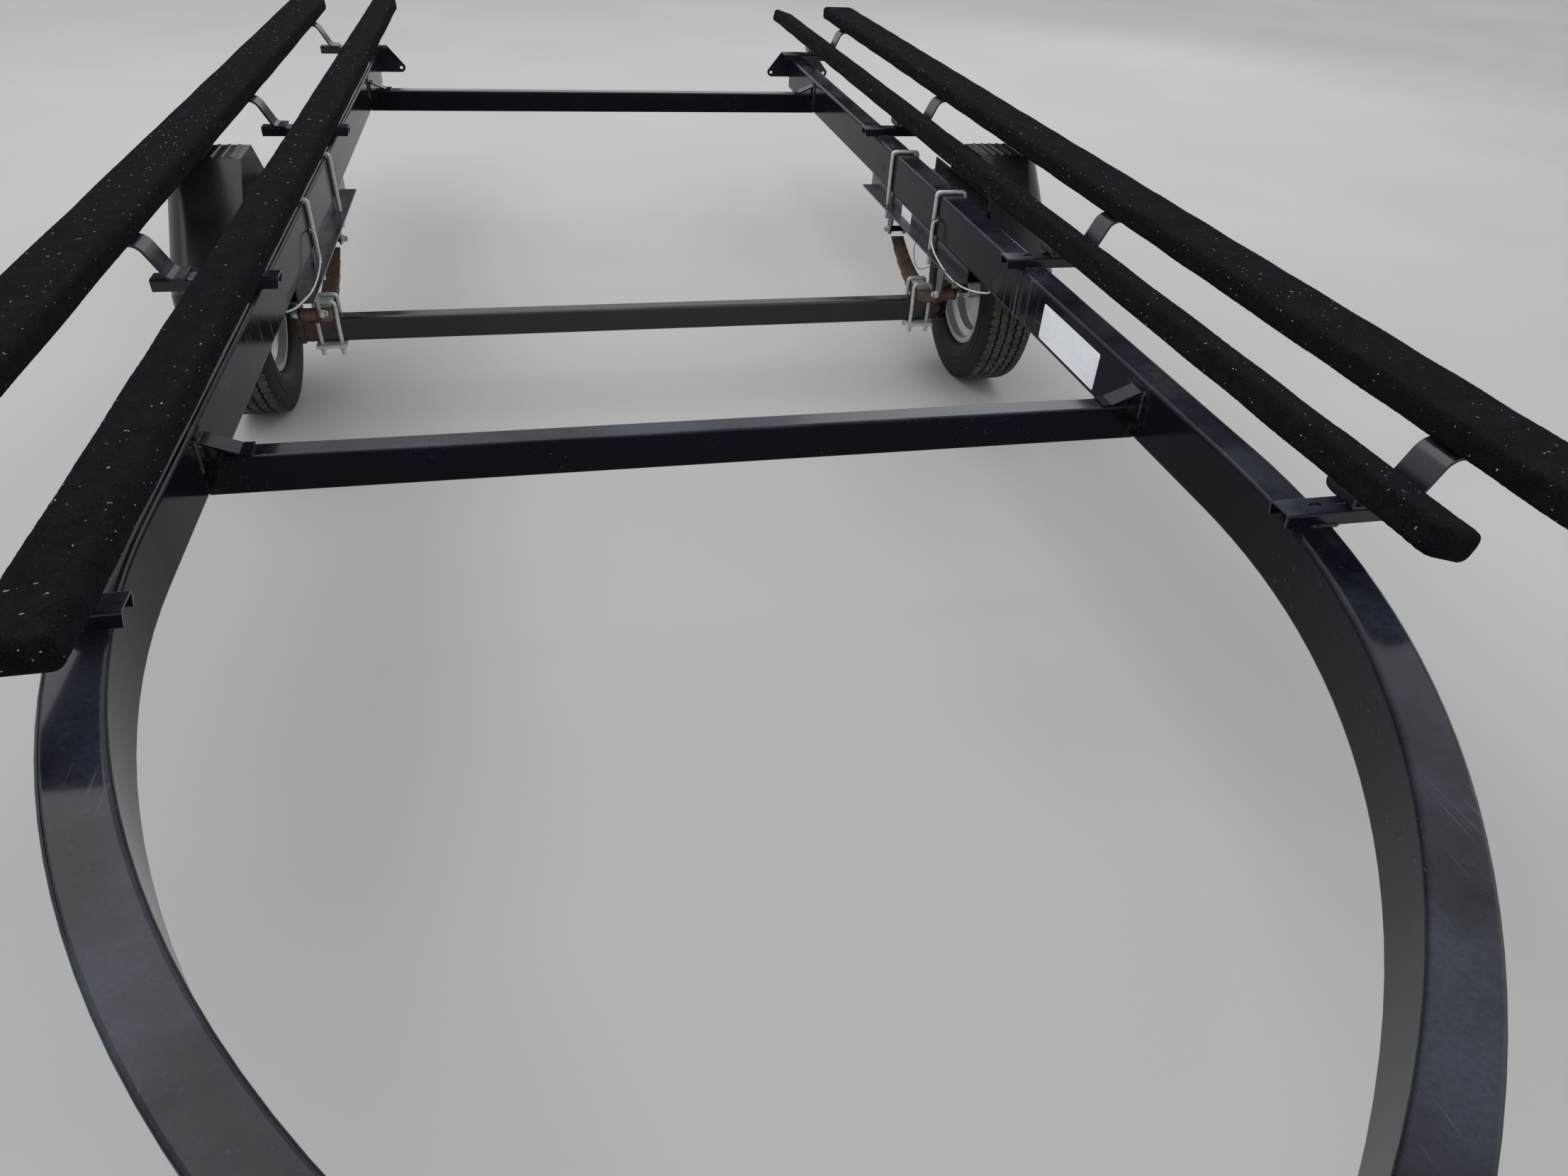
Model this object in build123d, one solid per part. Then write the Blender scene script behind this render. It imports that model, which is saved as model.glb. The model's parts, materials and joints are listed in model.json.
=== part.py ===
from build123d import *
import math
import os

# Boat trailer with bent tube side rails, one leaf-sprung axle and four carpeted bunks.
# Millimetres, +Z up, ground at z = 0. The coupler points to -Y and the mirror plane is X = 0.
# Lengthwise places are written as distances from the axle and shifted by AXLE_Y,
# so that the origin lies under the middle of the whole trailer.

# Wheels
TYRE_DIA = 613.0
TYRE_WIDTH = 175.0
TYRE_BEAD_R = 168.0
TREAD_WIDTH = 138.0
RIM_FLANGE_R = 182.0
RIM_WIDTH = 118.0
RIM_DROP_R = 140.0
RIM_PLATE = 3.0
WHEEL_SEAT_GAP = 0.3
DISC_FACE = 4.0
DISC_BOWL_R = 84.0
DISC_RING_R = 108.0
DISC_STEP = 20.0
LUG_CIRCLE_R = 57.15
LUG_COUNT = 5
LUG_HOLE_R = 7.0
HUB_R = 34.0
HUB_FLANGE_R = 72.0
HUB_FLANGE_T = 12.0
HUB_IN = 46.0
SPINDLE_BARE = 77.0
CAP_R = 25.0
CAP_LEN = 42.0
STUD_R = 6.0
STUD_LEN = 30.0
SPINDLE_R = 17.0
SPINDLE_CLEARANCE = 0.05

# Frame tubes
RAIL_INNER_X = 914.4
RAIL_W = 76.2
RAIL_H = 127.0
RAIL_WALL = 3.2
RAIL_CORNER = 9.0
RAIL_RISE = 360.0
RAIL_REAR = 1985.0
RAIL_BEND_START = 1764.0
RAIL_BEND_R = 1616.0
RAIL_BEND_ANGLE = 50.0
RAIL_MITRE_GAP = 0.25
DRAIN_PLACE = 412.0
DRAIN_DROP = 71.0
DRAIN_L = 20.0
DRAIN_R = 3.0
CROSS_D = 50.8
CROSS_H = 76.2
CROSS_WALL = 3.2
CROSS_FRONT = 1455.0
CROSS_REAR = 1506.0
GUSSET_RUN = 66.0
GUSSET_T = 5.0
GUSSET_W = 44.0
GUSSET_TAB = 20.0
GUSSET_EAR = 12.0
TONGUE_W = 76.2
TONGUE_H = 101.6
TONGUE_WALL = 4.8
TONGUE_LAP = 196.8
TONGUE_FRONT = 4560.0
TONGUE_CROSS_HALF = 330.0

# Axle and springs
AXLE_DROP = 61.0
BEAM_D = 50.8
BEAM_H = 76.2
BEAM_WALL = 4.8
BEAM_OVERHANG = 50.75
SPINDLE_ARM_T = 22.0
SPINDLE_ARM_W = 64.0
SPRING_INSET = 5.5
SPRING_W = 44.5
LEAF_T = 6.5
LEAF_GAP = 0.2
LEAF_REACHES = [(262.0, 322.0), (228.0, 270.0), (176.0, 205.0), (124.0, 140.0), (76.0, 84.0)]
SPRING_R = 580.0
SPRING_SEAT_T = 6.0
SLIDE_PLACE = 298.0
SLIDE_TUBE_R = 10.0
SLIDE_GAP = 0.3
CLAMP_PLATE_T = 6.0
CLAMP_PLATE_L = 88.0
CLAMP_PLATE_INSET = 3.0
CLAMP_HOLE_R = 9.0
CENTRE_BOLT_R = 6.5
EYE_R = 17.0
EYE_BORE_R = 8.2
EYE_BOLT_R = 7.9
HANGER_FRONT = 450.0
HANGER_REAR = 552.0
HANGER_T = 5.0
HANGER_DEPTH = 45.0
HANGER_PLATE_W = 136.0
HANGER_LEG_GAP = 62.0
EAR_T = 5.0
EAR_W = 66.0
EAR_GAP = 1.5
EAR_TIP_R = 19.0
UBOLT_R = 6.35
UBOLT_BEND = 10.0
UBOLT_TAIL = 44.0
CLAMP_TAIL = 28.0
UBOLT_FIT = 0.3
FRAME_UBOLT_PLACES = [-154.0, 312.0]
TIE_PLATE_T = 9.0
TIE_PLATE_L = 112.0
PLATE_MARGIN = 4.0
NUT_R = 11.0
NUT_H = 11.0

# Bunks: width and thickness with the carpet on, and rear end from the axle
BUNK_EDGE_R = 16.0
BUNK_END_R = 38.0
BUNKS = {
    "inner": {"w": 104.0, "t": 54.0, "rear": 2632.0},
    "outer": {"w": 150.0, "t": 52.0, "rear": 2310.0},
}
# Where each bunk is set: inner bottom corner, tilt in degrees, up outwards, and front end from the axle
BUNK_SEATS = {
    ("inner", "right"): {"x": 953.0, "rise": 70.0, "tilt": -17.0, "front": 2225.0},
    ("inner", "left"): {"x": 870.0, "rise": 70.0, "tilt": -1.0, "front": 2205.0},
    ("outer", "right"): {"x": 1136.5, "rise": 124.0, "tilt": 0.0, "front": 2404.0},
    ("outer", "left"): {"x": 1134.3, "rise": 112.0, "tilt": -4.0, "front": 2404.0},
}
BRACKET_PLACES = [-2000.0, -775.0, 575.0]
REAR_BRACKET_PLACE = 1958.0
CHANNEL_D = 50.8
CHANNEL_H = 27.0
CHANNEL_T = 4.0
CHANNEL_BEND = 6.5
CHANNEL_SLANT = 4.0
CHANNEL_IN = 40.0
CHANNEL_OUT = 1137.0
SLOT_L = 24.0
SLOT_R = 5.0
SLOT_SHIFTS = [-12.0, 37.0]
STRAP_T = 6.0
STRAP_W = 76.2
STRAP_BENDS = [20.0, 32.0]
STRAP_FOOT = [1064.0, 1096.0]
STRAP_KNEE = 1139.0
STRAP_TIP_IN = 40.0
BUNK_SEAT_GAP = 0.1
UPRIGHT_SHIFT = 3.4
UPRIGHT_REACH = 40.0
UPRIGHT_FRONT = 25.0
UPRIGHT_REAR = 50.0
UPRIGHT_FOOT_REAR = 21.0
UPRIGHT_FLARE_UP = 10.0
UPRIGHT_FLARE_R = 14.0
UPRIGHT_CORNER = 10.0
REAR_EAR_REACH = 143.0
REAR_EAR_DROP = 78.0
REAR_EAR_SIDE = 26.0
REAR_EAR_CORNER = 20.0
REAR_EAR_T = 5.0
REAR_EAR_HOLE_R = 6.5
REAR_EAR_HOLE_IN = 17.0
REAR_EAR_HOLE_UP = 18.0

# Fenders
FENDER_IN_GAP = 10.5
FENDER_OUT_GAP = 15.5
FENDER_TOP = 92.0
FENDER_FLAT = 146.0
FENDER_SLOPE = 270.0
FENDER_SKIRT = 112.0
FENDER_SKIRT_RUN = 16.0
FENDER_T = 3.0
FENDER_BAND = 120.0
FENDER_OUT_R = 58.0
FENDER_BEND_R = 30.0
RIB_COUNT = 5
RIB_START = 14.0
RIB_MARGIN = 6.0
RIB_W = 11.0
RIB_H = 4.0
BRACKET_SHELF_T = 5.0
BRACKET_SHELF_DROP = 46.0
BRACKET_SHELF_FRONT = 200.0
BRACKET_SHELF_REAR = 300.0
BRACKET_LIP = 40.0
NOTCH_W = 20.0

# Lighting wires: places as (X, distance from the axle, height from the rail top)
WIRE_R = 2.5
THIN_WIRE_R = 1.2
GROMMET_HOLE_R = 9.0
GROMMET_NECK_R = 8.6
WIRE_FIT = 0.2
GROMMET_RIM_R = 12.0
GROMMET_RIM_T = 2.0
GROMMET_GAP = 0.1
GROMMET_PLACES = {
    "right": {"y": -173.0, "z": -71.0, "under_x": 931.0, "under_y": -606.0},
    "left": {"y": -173.0, "z": -68.0, "under_x": 932.0, "under_y": -591.0},
}
WIRE_ROUTES = {
    "right": [
        (920.0, -171.0, -70.0), (896.0, -183.0, -74.0), (892.0, -190.0, -100.0), (891.0, -201.0, -131.0),
        (889.0, -242.0, -150.0), (884.0, -308.0, -157.0), (880.0, -377.0, -161.0), (879.0, -446.0, -162.0),
        (884.0, -512.0, -158.0), (903.0, -567.0, -151.0), (929.0, -606.0, -141.0), (932.0, -610.0, -117.0),
    ],
    "left": [
        (920.0, -169.0, -66.0), (897.0, -191.0, -72.0), (892.0, -217.0, -96.0), (890.0, -226.0, -124.0),
        (889.0, -262.0, -142.0), (889.0, -325.0, -151.0), (888.0, -395.0, -150.0), (888.0, -455.0, -144.0),
        (894.0, -512.0, -139.0), (908.0, -558.0, -142.0), (930.0, -588.0, -140.0), (934.0, -594.0, -116.0),
    ],
    "thin": [
        (920.0, -172.0, -65.5), (890.0, -168.0, -74.0), (874.0, -150.0, -106.0), (870.0, -128.0, -141.0),
        (869.0, -112.0, -176.0), (869.0, -124.0, -208.0), (869.0, -156.0, -224.0), (870.0, -198.0, -218.0),
        (871.0, -244.0, -194.0), (872.0, -290.0, -173.0), (873.0, -342.0, -159.0), (873.0, -400.0, -152.0),
        (873.0, -455.0, -151.5), (874.0, -503.0, -158.0), (884.0, -548.0, -172.0), (912.0, -566.0, -160.0),
        (931.0, -598.0, -141.0), (931.0, -602.5, -117.0),
    ],
}

# Lamps
LAMP_W = 160.0
LAMP_H = 52.0
LAMP_T = 24.0
LAMP_IN = 90.0

# Coupler
COUPLER_T = 4.0
COUPLER_LAP = 170.0
COUPLER_NECK = 120.0
BALL_R = 25.4
BALL_CLEARANCE = 0.6
SOCKET_WALL = 5.0
SOCKET_DROP = 30.0
SOCKET_SKIRT = 22.0
LATCH_L = 120.0
LATCH_W = 26.0
LATCH_H = 14.0

# Jack
JACK_PLACE = 4150.0
JACK_X = 142.0
JACK_TUBE_R = 28.5
JACK_INNER_R = 22.0
JACK_WALL = 3.0
JACK_RUNNING_GAP = 0.6
JACK_TRAVEL = 250.0
JACK_BODY_L = 382.0
JACK_OVERLAP = 110.0
JACK_WHEEL_R = 75.0
JACK_WHEEL_W = 38.0
JACK_TRAIL = 20.0
FORK_T = 5.0
FORK_GAP = 2.0
FORK_SLEEVE_R = 27.0
FORK_CLEARANCE = 6.0
JACK_AXLE_R = 6.0
JACK_PLATE_L = 130.0
JACK_PLATE_T = 8.0
JACK_BOSS_R = 24.0
JACK_COLLAR_T = 6.0
JACK_COLLAR_H = 70.0
JACK_PAD_T = 18.0
JACK_PAD_HALF = 30.0
PIVOT_GAP = 0.5
PIVOT_PIN_R = 9.0
PIVOT_PIN_L = 14.0
KINGPIN_R = 8.0
KINGPIN_L = 16.0
LEG_PLUG = 20.0
HANDLE_R = 6.0
HANDLE_ARM = 150.0
HANDLE_GRIP_L = 62.0
HANDLE_GRIP_R = 12.0
CROWN_H = 30.0

# Winch stand
POST_PLACE = 3580.0
POST_W = 63.5
POST_WALL = 4.0
POST_H = 560.0
POST_BASE_L = 150.0
POST_BASE_T = 8.0
STOP_ARM_L = 230.0
STOP_ARM_W = 44.0
STOP_ARM_DROP = 60.0
STOP_R = 34.0
STOP_HALF = 48.0
STOP_PIN_R = 8.0
STOP_EAR_T = 6.0
WINCH_PLATE_T = 4.0
WINCH_HALF = 42.0
WINCH_L = 130.0
WINCH_H = 112.0
DRUM_CORE_R = 19.0
DRUM_ROLL_R = 38.0
DRUM_CHEEK_R = 46.0
DRUM_CHEEK_T = 3.0
GEAR_TEETH = 48
PINION_TEETH = 12
GEAR_MODULE = 2.0
GEAR_T = 9.0
GEAR_BACKLASH = 0.35
SHAFT_R = 8.0
CRANK_ARM = 215.0
CRANK_ARM_W = 24.0
CRANK_ARM_T = 7.0
CRANK_GRIP_L = 100.0
CRANK_GRIP_R = 15.0

# Worked out heights and places
HUB_Z = TYRE_DIA / 2
RAIL_TOP = HUB_Z + RAIL_RISE
RAIL_BOTTOM = RAIL_TOP - RAIL_H
RAIL_X = RAIL_INNER_X + RAIL_W / 2
RAIL_OUTER_X = RAIL_INNER_X + RAIL_W
SPRING_X = RAIL_X - SPRING_INSET
BEAM_HALF = SPRING_X + SPRING_W / 2 + BEAM_OVERHANG
WHEEL_X = BEAM_HALF + SPINDLE_ARM_T + SPINDLE_BARE + HUB_IN
BEND_TURN = math.radians(RAIL_BEND_ANGLE)
BEND_END_X = RAIL_X - RAIL_BEND_R * (1 - math.cos(BEND_TURN))
RAIL_APEX = RAIL_BEND_START + RAIL_BEND_R * math.sin(BEND_TURN) + BEND_END_X / math.tan(BEND_TURN)
TONGUE_REAR = RAIL_APEX - TONGUE_LAP
BEAM_Z = HUB_Z - AXLE_DROP
BEAM_TOP = BEAM_Z + BEAM_H / 2
BEAM_BOTTOM = BEAM_Z - BEAM_H / 2
PACK_T = len(LEAF_REACHES) * (LEAF_T + LEAF_GAP)
PACK_BOTTOM = BEAM_TOP + SPRING_SEAT_T
PACK_TOP = PACK_BOTTOM + PACK_T
HANGER_BOTTOM = RAIL_BOTTOM - HANGER_DEPTH
FENDER_IN = WHEEL_X - TYRE_WIDTH / 2 - FENDER_IN_GAP
FENDER_W = TYRE_WIDTH + FENDER_IN_GAP + FENDER_OUT_GAP
TONGUE_TOP = RAIL_BOTTOM
TONGUE_Z = TONGUE_TOP - TONGUE_H / 2
DOME_R = BALL_R + BALL_CLEARANCE + SOCKET_WALL
COUPLER_NOSE = TONGUE_FRONT + COUPLER_NECK + DOME_R
AXLE_Y = (COUPLER_NOSE - BUNKS["inner"]["rear"]) / 2
JACK_Y = AXLE_Y - JACK_PLACE
JACK_PAD_X = JACK_X - JACK_TUBE_R - JACK_PAD_T
POST_Y = AXLE_Y - POST_PLACE
POST_TOP = TONGUE_TOP + POST_H
CHANNEL_TOP = RAIL_TOP + CHANNEL_H
UPRIGHT_X = RAIL_OUTER_X + UPRIGHT_SHIFT


def block(x, y, z):
    """A box between two limits on each axis."""
    size = (x[1] - x[0], y[1] - y[0], z[1] - z[0])
    middle = ((x[0] + x[1]) / 2, (y[0] + y[1]) / 2, (z[0] + z[1]) / 2)
    return Pos(*middle) * Box(*size)


def mirrored(shape):
    return mirror(shape, about=Plane.YZ)


def rod(start, end, radius):
    """A round bar from one point to another."""
    a = Vector(*start)
    b = Vector(*end)
    plane = Plane(origin=a, z_dir=b - a)
    return extrude(plane * Circle(radius), (b - a).length)


def turned(profile, origin, axis):
    """A solid turned about an axis through origin, from points (along the axis, radius)."""
    face = make_face(Polyline(*[(r, a) for a, r in profile], close=True))
    way = Vector(*axis)
    outwards = Vector(1, 0, 0) if abs(way.Z) > 0.5 else Vector(0, 0, 1)
    flat = Plane(origin=origin, x_dir=outwards, z_dir=outwards.cross(way))
    return revolve(flat * face, Axis(origin, axis))


def hollow_bar(width, height, wall, corner):
    return RectangleRounded(width, height, corner) - RectangleRounded(
        width - 2 * wall, height - 2 * wall, max(corner - wall, 0.5)
    )


def cross_tube(y_middle, top, depth, height, wall, half):
    """A rectangular tube that runs across the trailer."""
    plane = Plane(origin=(-half, y_middle, top - height / 2), x_dir=(0, 1, 0), z_dir=(1, 0, 0))
    return extrude(plane * hollow_bar(depth, height, wall, 2 * wall), 2 * half)


def bent_bar(points, thickness, width, y_middle, radius):
    """A flat bar bent in the XZ plane, its middle line through the points; radius is one or one per bend."""
    path = FilletPolyline(*[(x, y_middle, z) for x, z in points], radius=radius)
    start = Plane(origin=path @ 0, x_dir=(0, 1, 0), z_dir=path % 0)
    return sweep(start * Rectangle(width, thickness), path=path)


def bent_rod(points, radius, bend):
    """A round rod bent through the points in one plane."""
    path = FilletPolyline(*points, radius=bend)
    return sweep(Plane(origin=path @ 0, z_dir=path % 0) * Circle(radius), path=path)


def save(name, *solids):
    shape = solids[0] if len(solids) == 1 else Compound(children=list(solids))
    export_step(shape, f"parts/{name}.step")


def side_rail():
    """One rectangular tube: straight beside the axle, then bent inwards to the middle line."""
    z = RAIL_TOP - RAIL_H / 2
    bend_y = AXLE_Y - RAIL_BEND_START
    straight = Line((RAIL_X, AXLE_Y + RAIL_REAR, z), (RAIL_X, bend_y, z))
    arc = CenterArc((RAIL_X - RAIL_BEND_R, bend_y, z), RAIL_BEND_R, 0, -RAIL_BEND_ANGLE)
    heading = arc % 1
    last = Line(arc @ 1, arc @ 1 + heading * ((arc @ 1).X / abs(heading.X) + RAIL_W))
    path = Wire([straight.edge(), arc.edge(), last.edge()])
    start = Plane(origin=straight @ 0, x_dir=(1, 0, 0), z_dir=(0, -1, 0))
    tube = sweep(start * hollow_bar(RAIL_W, RAIL_H, RAIL_WALL, RAIL_CORNER), path=path)
    reach = 2 * RAIL_BEND_R
    past = block((-reach, RAIL_MITRE_GAP), (path.bounding_box().min.Y - reach, bend_y), (RAIL_BOTTOM - 5, RAIL_TOP + 5))
    return tube - past


def rail_holes(rail, side):
    """The rail with its drain slot and the two holes where the lighting wire leaves and enters it."""
    wall = (RAIL_INNER_X - 1, RAIL_INNER_X + RAIL_WALL + 1)
    slot = Plane(origin=(wall[0], AXLE_Y + DRAIN_PLACE, RAIL_TOP - DRAIN_DROP), x_dir=(0, 0, 1), z_dir=(1, 0, 0))
    rail -= extrude(slot * SlotOverall(DRAIN_L, 2 * DRAIN_R), wall[1] - wall[0])
    place = GROMMET_PLACES[side]
    y = AXLE_Y + place["y"]
    z = RAIL_TOP + place["z"]
    rail -= rod((wall[0], y, z), (wall[1], y, z), GROMMET_HOLE_R)
    x = place["under_x"]
    y = AXLE_Y + place["under_y"]
    rail -= rod((x, y, RAIL_BOTTOM - 1), (x, y, RAIL_BOTTOM + RAIL_WALL + 1), GROMMET_HOLE_R)
    return rail


def crossmember(y_middle):
    """A tube between the rails, level with their bottom, with a bent strap up to the rail at each end."""
    top = RAIL_BOTTOM + CROSS_H
    tube = cross_tube(y_middle, top, CROSS_D, CROSS_H, CROSS_WALL, RAIL_INNER_X)
    peak = RAIL_TOP - RAIL_CORNER
    face = RAIL_INNER_X - GUSSET_T / 2
    foot = RAIL_INNER_X - GUSSET_RUN
    seat = top + GUSSET_T / 2
    points = [(foot - GUSSET_TAB, seat), (foot, seat), (face, peak - GUSSET_EAR), (face, peak)]
    gusset = bent_bar(points, GUSSET_T, GUSSET_W, y_middle, GUSSET_T)
    return tube + gusset + mirrored(gusset)


def tongue():
    plane = Plane(origin=(0, AXLE_Y - TONGUE_REAR, TONGUE_Z), x_dir=(1, 0, 0), z_dir=(0, -1, 0))
    bar = hollow_bar(TONGUE_W, TONGUE_H, TONGUE_WALL, 2 * TONGUE_WALL)
    return extrude(plane * bar, TONGUE_FRONT - TONGUE_REAR)


def tongue_cross():
    y = AXLE_Y - TONGUE_REAR + CROSS_D / 2
    return cross_tube(y, TONGUE_TOP, CROSS_D, CROSS_H, CROSS_WALL, TONGUE_CROSS_HALF)


def axle_beam():
    """A rectangular beam under the hub line, with an arm and a spindle at each end."""
    beam = cross_tube(AXLE_Y, BEAM_TOP, BEAM_D, BEAM_H, BEAM_WALL, BEAM_HALF)
    arm_x = (BEAM_HALF, BEAM_HALF + SPINDLE_ARM_T)
    arm = block(arm_x, (AXLE_Y - SPINDLE_ARM_W / 2, AXLE_Y + SPINDLE_ARM_W / 2), (BEAM_BOTTOM, HUB_Z))
    crown = rod((arm_x[0], AXLE_Y, HUB_Z), (arm_x[1], AXLE_Y, HUB_Z), SPINDLE_ARM_W / 2)
    spindle = rod((arm_x[1], AXLE_Y, HUB_Z), (WHEEL_X + HUB_FLANGE_T, AXLE_Y, HUB_Z), SPINDLE_R)
    end = arm + crown + spindle
    seat = block(
        (SPRING_X - SPRING_W / 2, SPRING_X + SPRING_W / 2),
        (AXLE_Y - BEAM_D / 2, AXLE_Y + BEAM_D / 2),
        (BEAM_TOP, PACK_BOTTOM),
    )
    return beam + end + mirrored(end) + seat + mirrored(seat)


def arc_height(y, radius):
    """Height of an arc of the spring's centre at a distance y from the axle."""
    return PACK_TOP + SPRING_R - math.sqrt(radius**2 - y**2)


def leaf_spring():
    """Leaves bent to arcs about one centre above the axle, longest on top, with a front eye."""
    origin = (SPRING_X - SPRING_W / 2, AXLE_Y, PACK_TOP + SPRING_R)
    plane = Plane(origin=origin, x_dir=(0, 1, 0), z_dir=(1, 0, 0))
    leaves = []
    for row, (front, rear) in enumerate(LEAF_REACHES):
        inner = SPRING_R + row * (LEAF_T + LEAF_GAP)
        outer = inner + LEAF_T
        ring = Circle(outer) - Circle(inner)
        lean = [2 * outer * reach / inner for reach in (front, rear)]
        wedge = make_face(Polyline((0, 0), (-lean[0], -2 * outer), (lean[1], -2 * outer), close=True))
        leaf = extrude(plane * (ring & wedge), SPRING_W)
        if row == 0:
            eye_y, eye_z = spring_eye()
            middle = Pos(eye_y - AXLE_Y, eye_z - origin[2])
            leaf += extrude(plane * (middle * Circle(EYE_R)), SPRING_W)
            leaf -= extrude(plane * (middle * Circle(EYE_BORE_R)), SPRING_W)
            head = (SPRING_X, AXLE_Y, PACK_TOP - LEAF_T / 2)
            leaf += rod(head, (SPRING_X, AXLE_Y, PACK_TOP + CLAMP_PLATE_T), CENTRE_BOLT_R)
        leaves.append(leaf)
    return leaves


def spring_eye():
    """The place of the spring's front eye, as (y, z)."""
    reach = LEAF_REACHES[0][0]
    end_y = SPRING_R * math.sin(math.atan(reach / SPRING_R))
    return AXLE_Y - end_y - EYE_R * 0.4, arc_height(end_y, SPRING_R) + EYE_R - LEAF_T


def slide_bolt():
    """The place of the bolt whose spacer tube the rear end of the top leaf slides under, as (y, z)."""
    return AXLE_Y + SLIDE_PLACE, arc_height(SLIDE_PLACE, SPRING_R - SLIDE_TUBE_R - SLIDE_GAP)


def hanger():
    """A long formed rail under the side rail, with tapered ears for the spring's eye and its sliding end."""
    y0 = AXLE_Y - HANGER_FRONT
    y1 = AXLE_Y + HANGER_REAR
    half = HANGER_PLATE_W / 2
    body = block((RAIL_X - half, RAIL_X + half), (y0, y1), (HANGER_BOTTOM, HANGER_BOTTOM + HANGER_T))
    for side in (-1, 1):
        x = RAIL_X + side * HANGER_LEG_GAP / 2
        body += block((x - HANGER_T / 2, x + HANGER_T / 2), (y0, y1), (HANGER_BOTTOM, RAIL_BOTTOM))
    inside = SPRING_W / 2 + EAR_GAP
    outside = inside + EAR_T
    for bolt_y, bolt_z in (spring_eye(), slide_bolt()):
        outline = Polyline(
            (bolt_y - EAR_W / 2, HANGER_BOTTOM),
            (bolt_y - EAR_TIP_R, bolt_z),
            (bolt_y + EAR_TIP_R, bolt_z),
            (bolt_y + EAR_W / 2, HANGER_BOTTOM),
            close=True,
        )
        for near in (SPRING_X - outside, SPRING_X + inside):
            plane = Plane(origin=(near, 0, 0), x_dir=(0, 1, 0), z_dir=(1, 0, 0))
            body += extrude(plane * make_face(outline), EAR_T)
            body += rod((near, bolt_y, bolt_z), (near + EAR_T, bolt_y, bolt_z), EAR_TIP_R)
        for side in (-1, 1):
            face = SPRING_X + side * outside
            body += rod((SPRING_X, bolt_y, bolt_z), (face + side * 1.7 * NUT_H, bolt_y, bolt_z), EYE_BOLT_R)
            nut = Plane(origin=(face, bolt_y, bolt_z), x_dir=(0, 0, 1), z_dir=(side, 0, 0))
            body += extrude(nut * RegularPolygon(NUT_R, 6), NUT_H)
    bolt_y, bolt_z = slide_bolt()
    body += rod((SPRING_X - inside, bolt_y, bolt_z), (SPRING_X + inside, bolt_y, bolt_z), SLIDE_TUBE_R)
    for place in FRAME_UBOLT_PLACES:
        for leg in ubolt_legs(RAIL_INNER_X, RAIL_OUTER_X):
            y = AXLE_Y + place
            body -= rod((leg, y, HANGER_BOTTOM - 1), (leg, y, HANGER_BOTTOM + HANGER_T + 1), UBOLT_R + UBOLT_FIT)
    return body


def ubolt_legs(x_in, x_out):
    """Where the two legs of a square rod clamp stand, beside a bar between x_in and x_out."""
    return x_in - UBOLT_R - UBOLT_FIT, x_out + UBOLT_R + UBOLT_FIT


def ubolt(x_in, x_out, y, bar_top, end_z, seat_z):
    """A square rod clamp over a bar, with a nut on each leg under the plate at seat_z."""
    a, b = ubolt_legs(x_in, x_out)
    top = bar_top + UBOLT_R + UBOLT_FIT
    clamp = bent_rod([(a, y, end_z), (a, y, top), (b, y, top), (b, y, end_z)], UBOLT_R, UBOLT_BEND)
    for leg in (a, b):
        nut = Plane(origin=(leg, y, seat_z - NUT_H), x_dir=(0, 1, 0), z_dir=(0, 0, 1)) * RegularPolygon(NUT_R, 6)
        clamp += extrude(nut, NUT_H)
    return clamp


def frame_ubolts():
    end = HANGER_BOTTOM - UBOLT_TAIL
    return [
        ubolt(RAIL_INNER_X, RAIL_OUTER_X, AXLE_Y + place, RAIL_TOP, end, HANGER_BOTTOM)
        for place in FRAME_UBOLT_PLACES
    ]


def spring_clamps():
    """Two rod clamps over the spring, the plate they press on it and a tie plate under the axle beam."""
    x_in = SPRING_X - SPRING_W / 2
    x_out = SPRING_X + SPRING_W / 2
    plate_low = BEAM_BOTTOM - TIE_PLATE_T
    half = BEAM_D / 2 + UBOLT_R + UBOLT_FIT
    legs = ubolt_legs(x_in, x_out)
    plate = block(
        (legs[0] - NUT_R - PLATE_MARGIN, legs[1] + NUT_R + PLATE_MARGIN),
        (AXLE_Y - TIE_PLATE_L / 2, AXLE_Y + TIE_PLATE_L / 2),
        (plate_low, BEAM_BOTTOM),
    )
    clamps = []
    for side in (-1, 1):
        y = AXLE_Y + side * half
        for leg in legs:
            plate -= rod((leg, y, plate_low - 1), (leg, y, BEAM_BOTTOM + 1), UBOLT_R + UBOLT_FIT)
        clamps.append(ubolt(x_in, x_out, y, PACK_TOP + CLAMP_PLATE_T, plate_low - CLAMP_TAIL, plate_low))
    span = (x_in + CLAMP_PLATE_INSET, x_out - CLAMP_PLATE_INSET)
    cap = block(span, (AXLE_Y - CLAMP_PLATE_L / 2, AXLE_Y + CLAMP_PLATE_L / 2), (PACK_TOP, PACK_TOP + CLAMP_PLATE_T))
    centre = PACK_TOP + SPRING_R
    cap &= rod((x_in, AXLE_Y, centre), (x_out, AXLE_Y, centre), SPRING_R - LEAF_GAP / 2)
    cap -= rod((SPRING_X, AXLE_Y, PACK_TOP - 1), (SPRING_X, AXLE_Y, PACK_TOP + CLAMP_PLATE_T + 1), CLAMP_HOLE_R)
    return plate, cap, clamps


def bunk_line(kind, side, x):
    """Height of a bunk's underside at x."""
    seat = BUNK_SEATS[kind, side]
    return RAIL_TOP + seat["rise"] + (x - seat["x"]) * math.tan(math.radians(seat["tilt"]))


def bunk_under(kind, side):
    """How far the middle of a flat bar that carries a bunk lies below the bunk's underside."""
    return STRAP_T / 2 / math.cos(math.radians(BUNK_SEATS[kind, side]["tilt"])) + BUNK_SEAT_GAP


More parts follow.
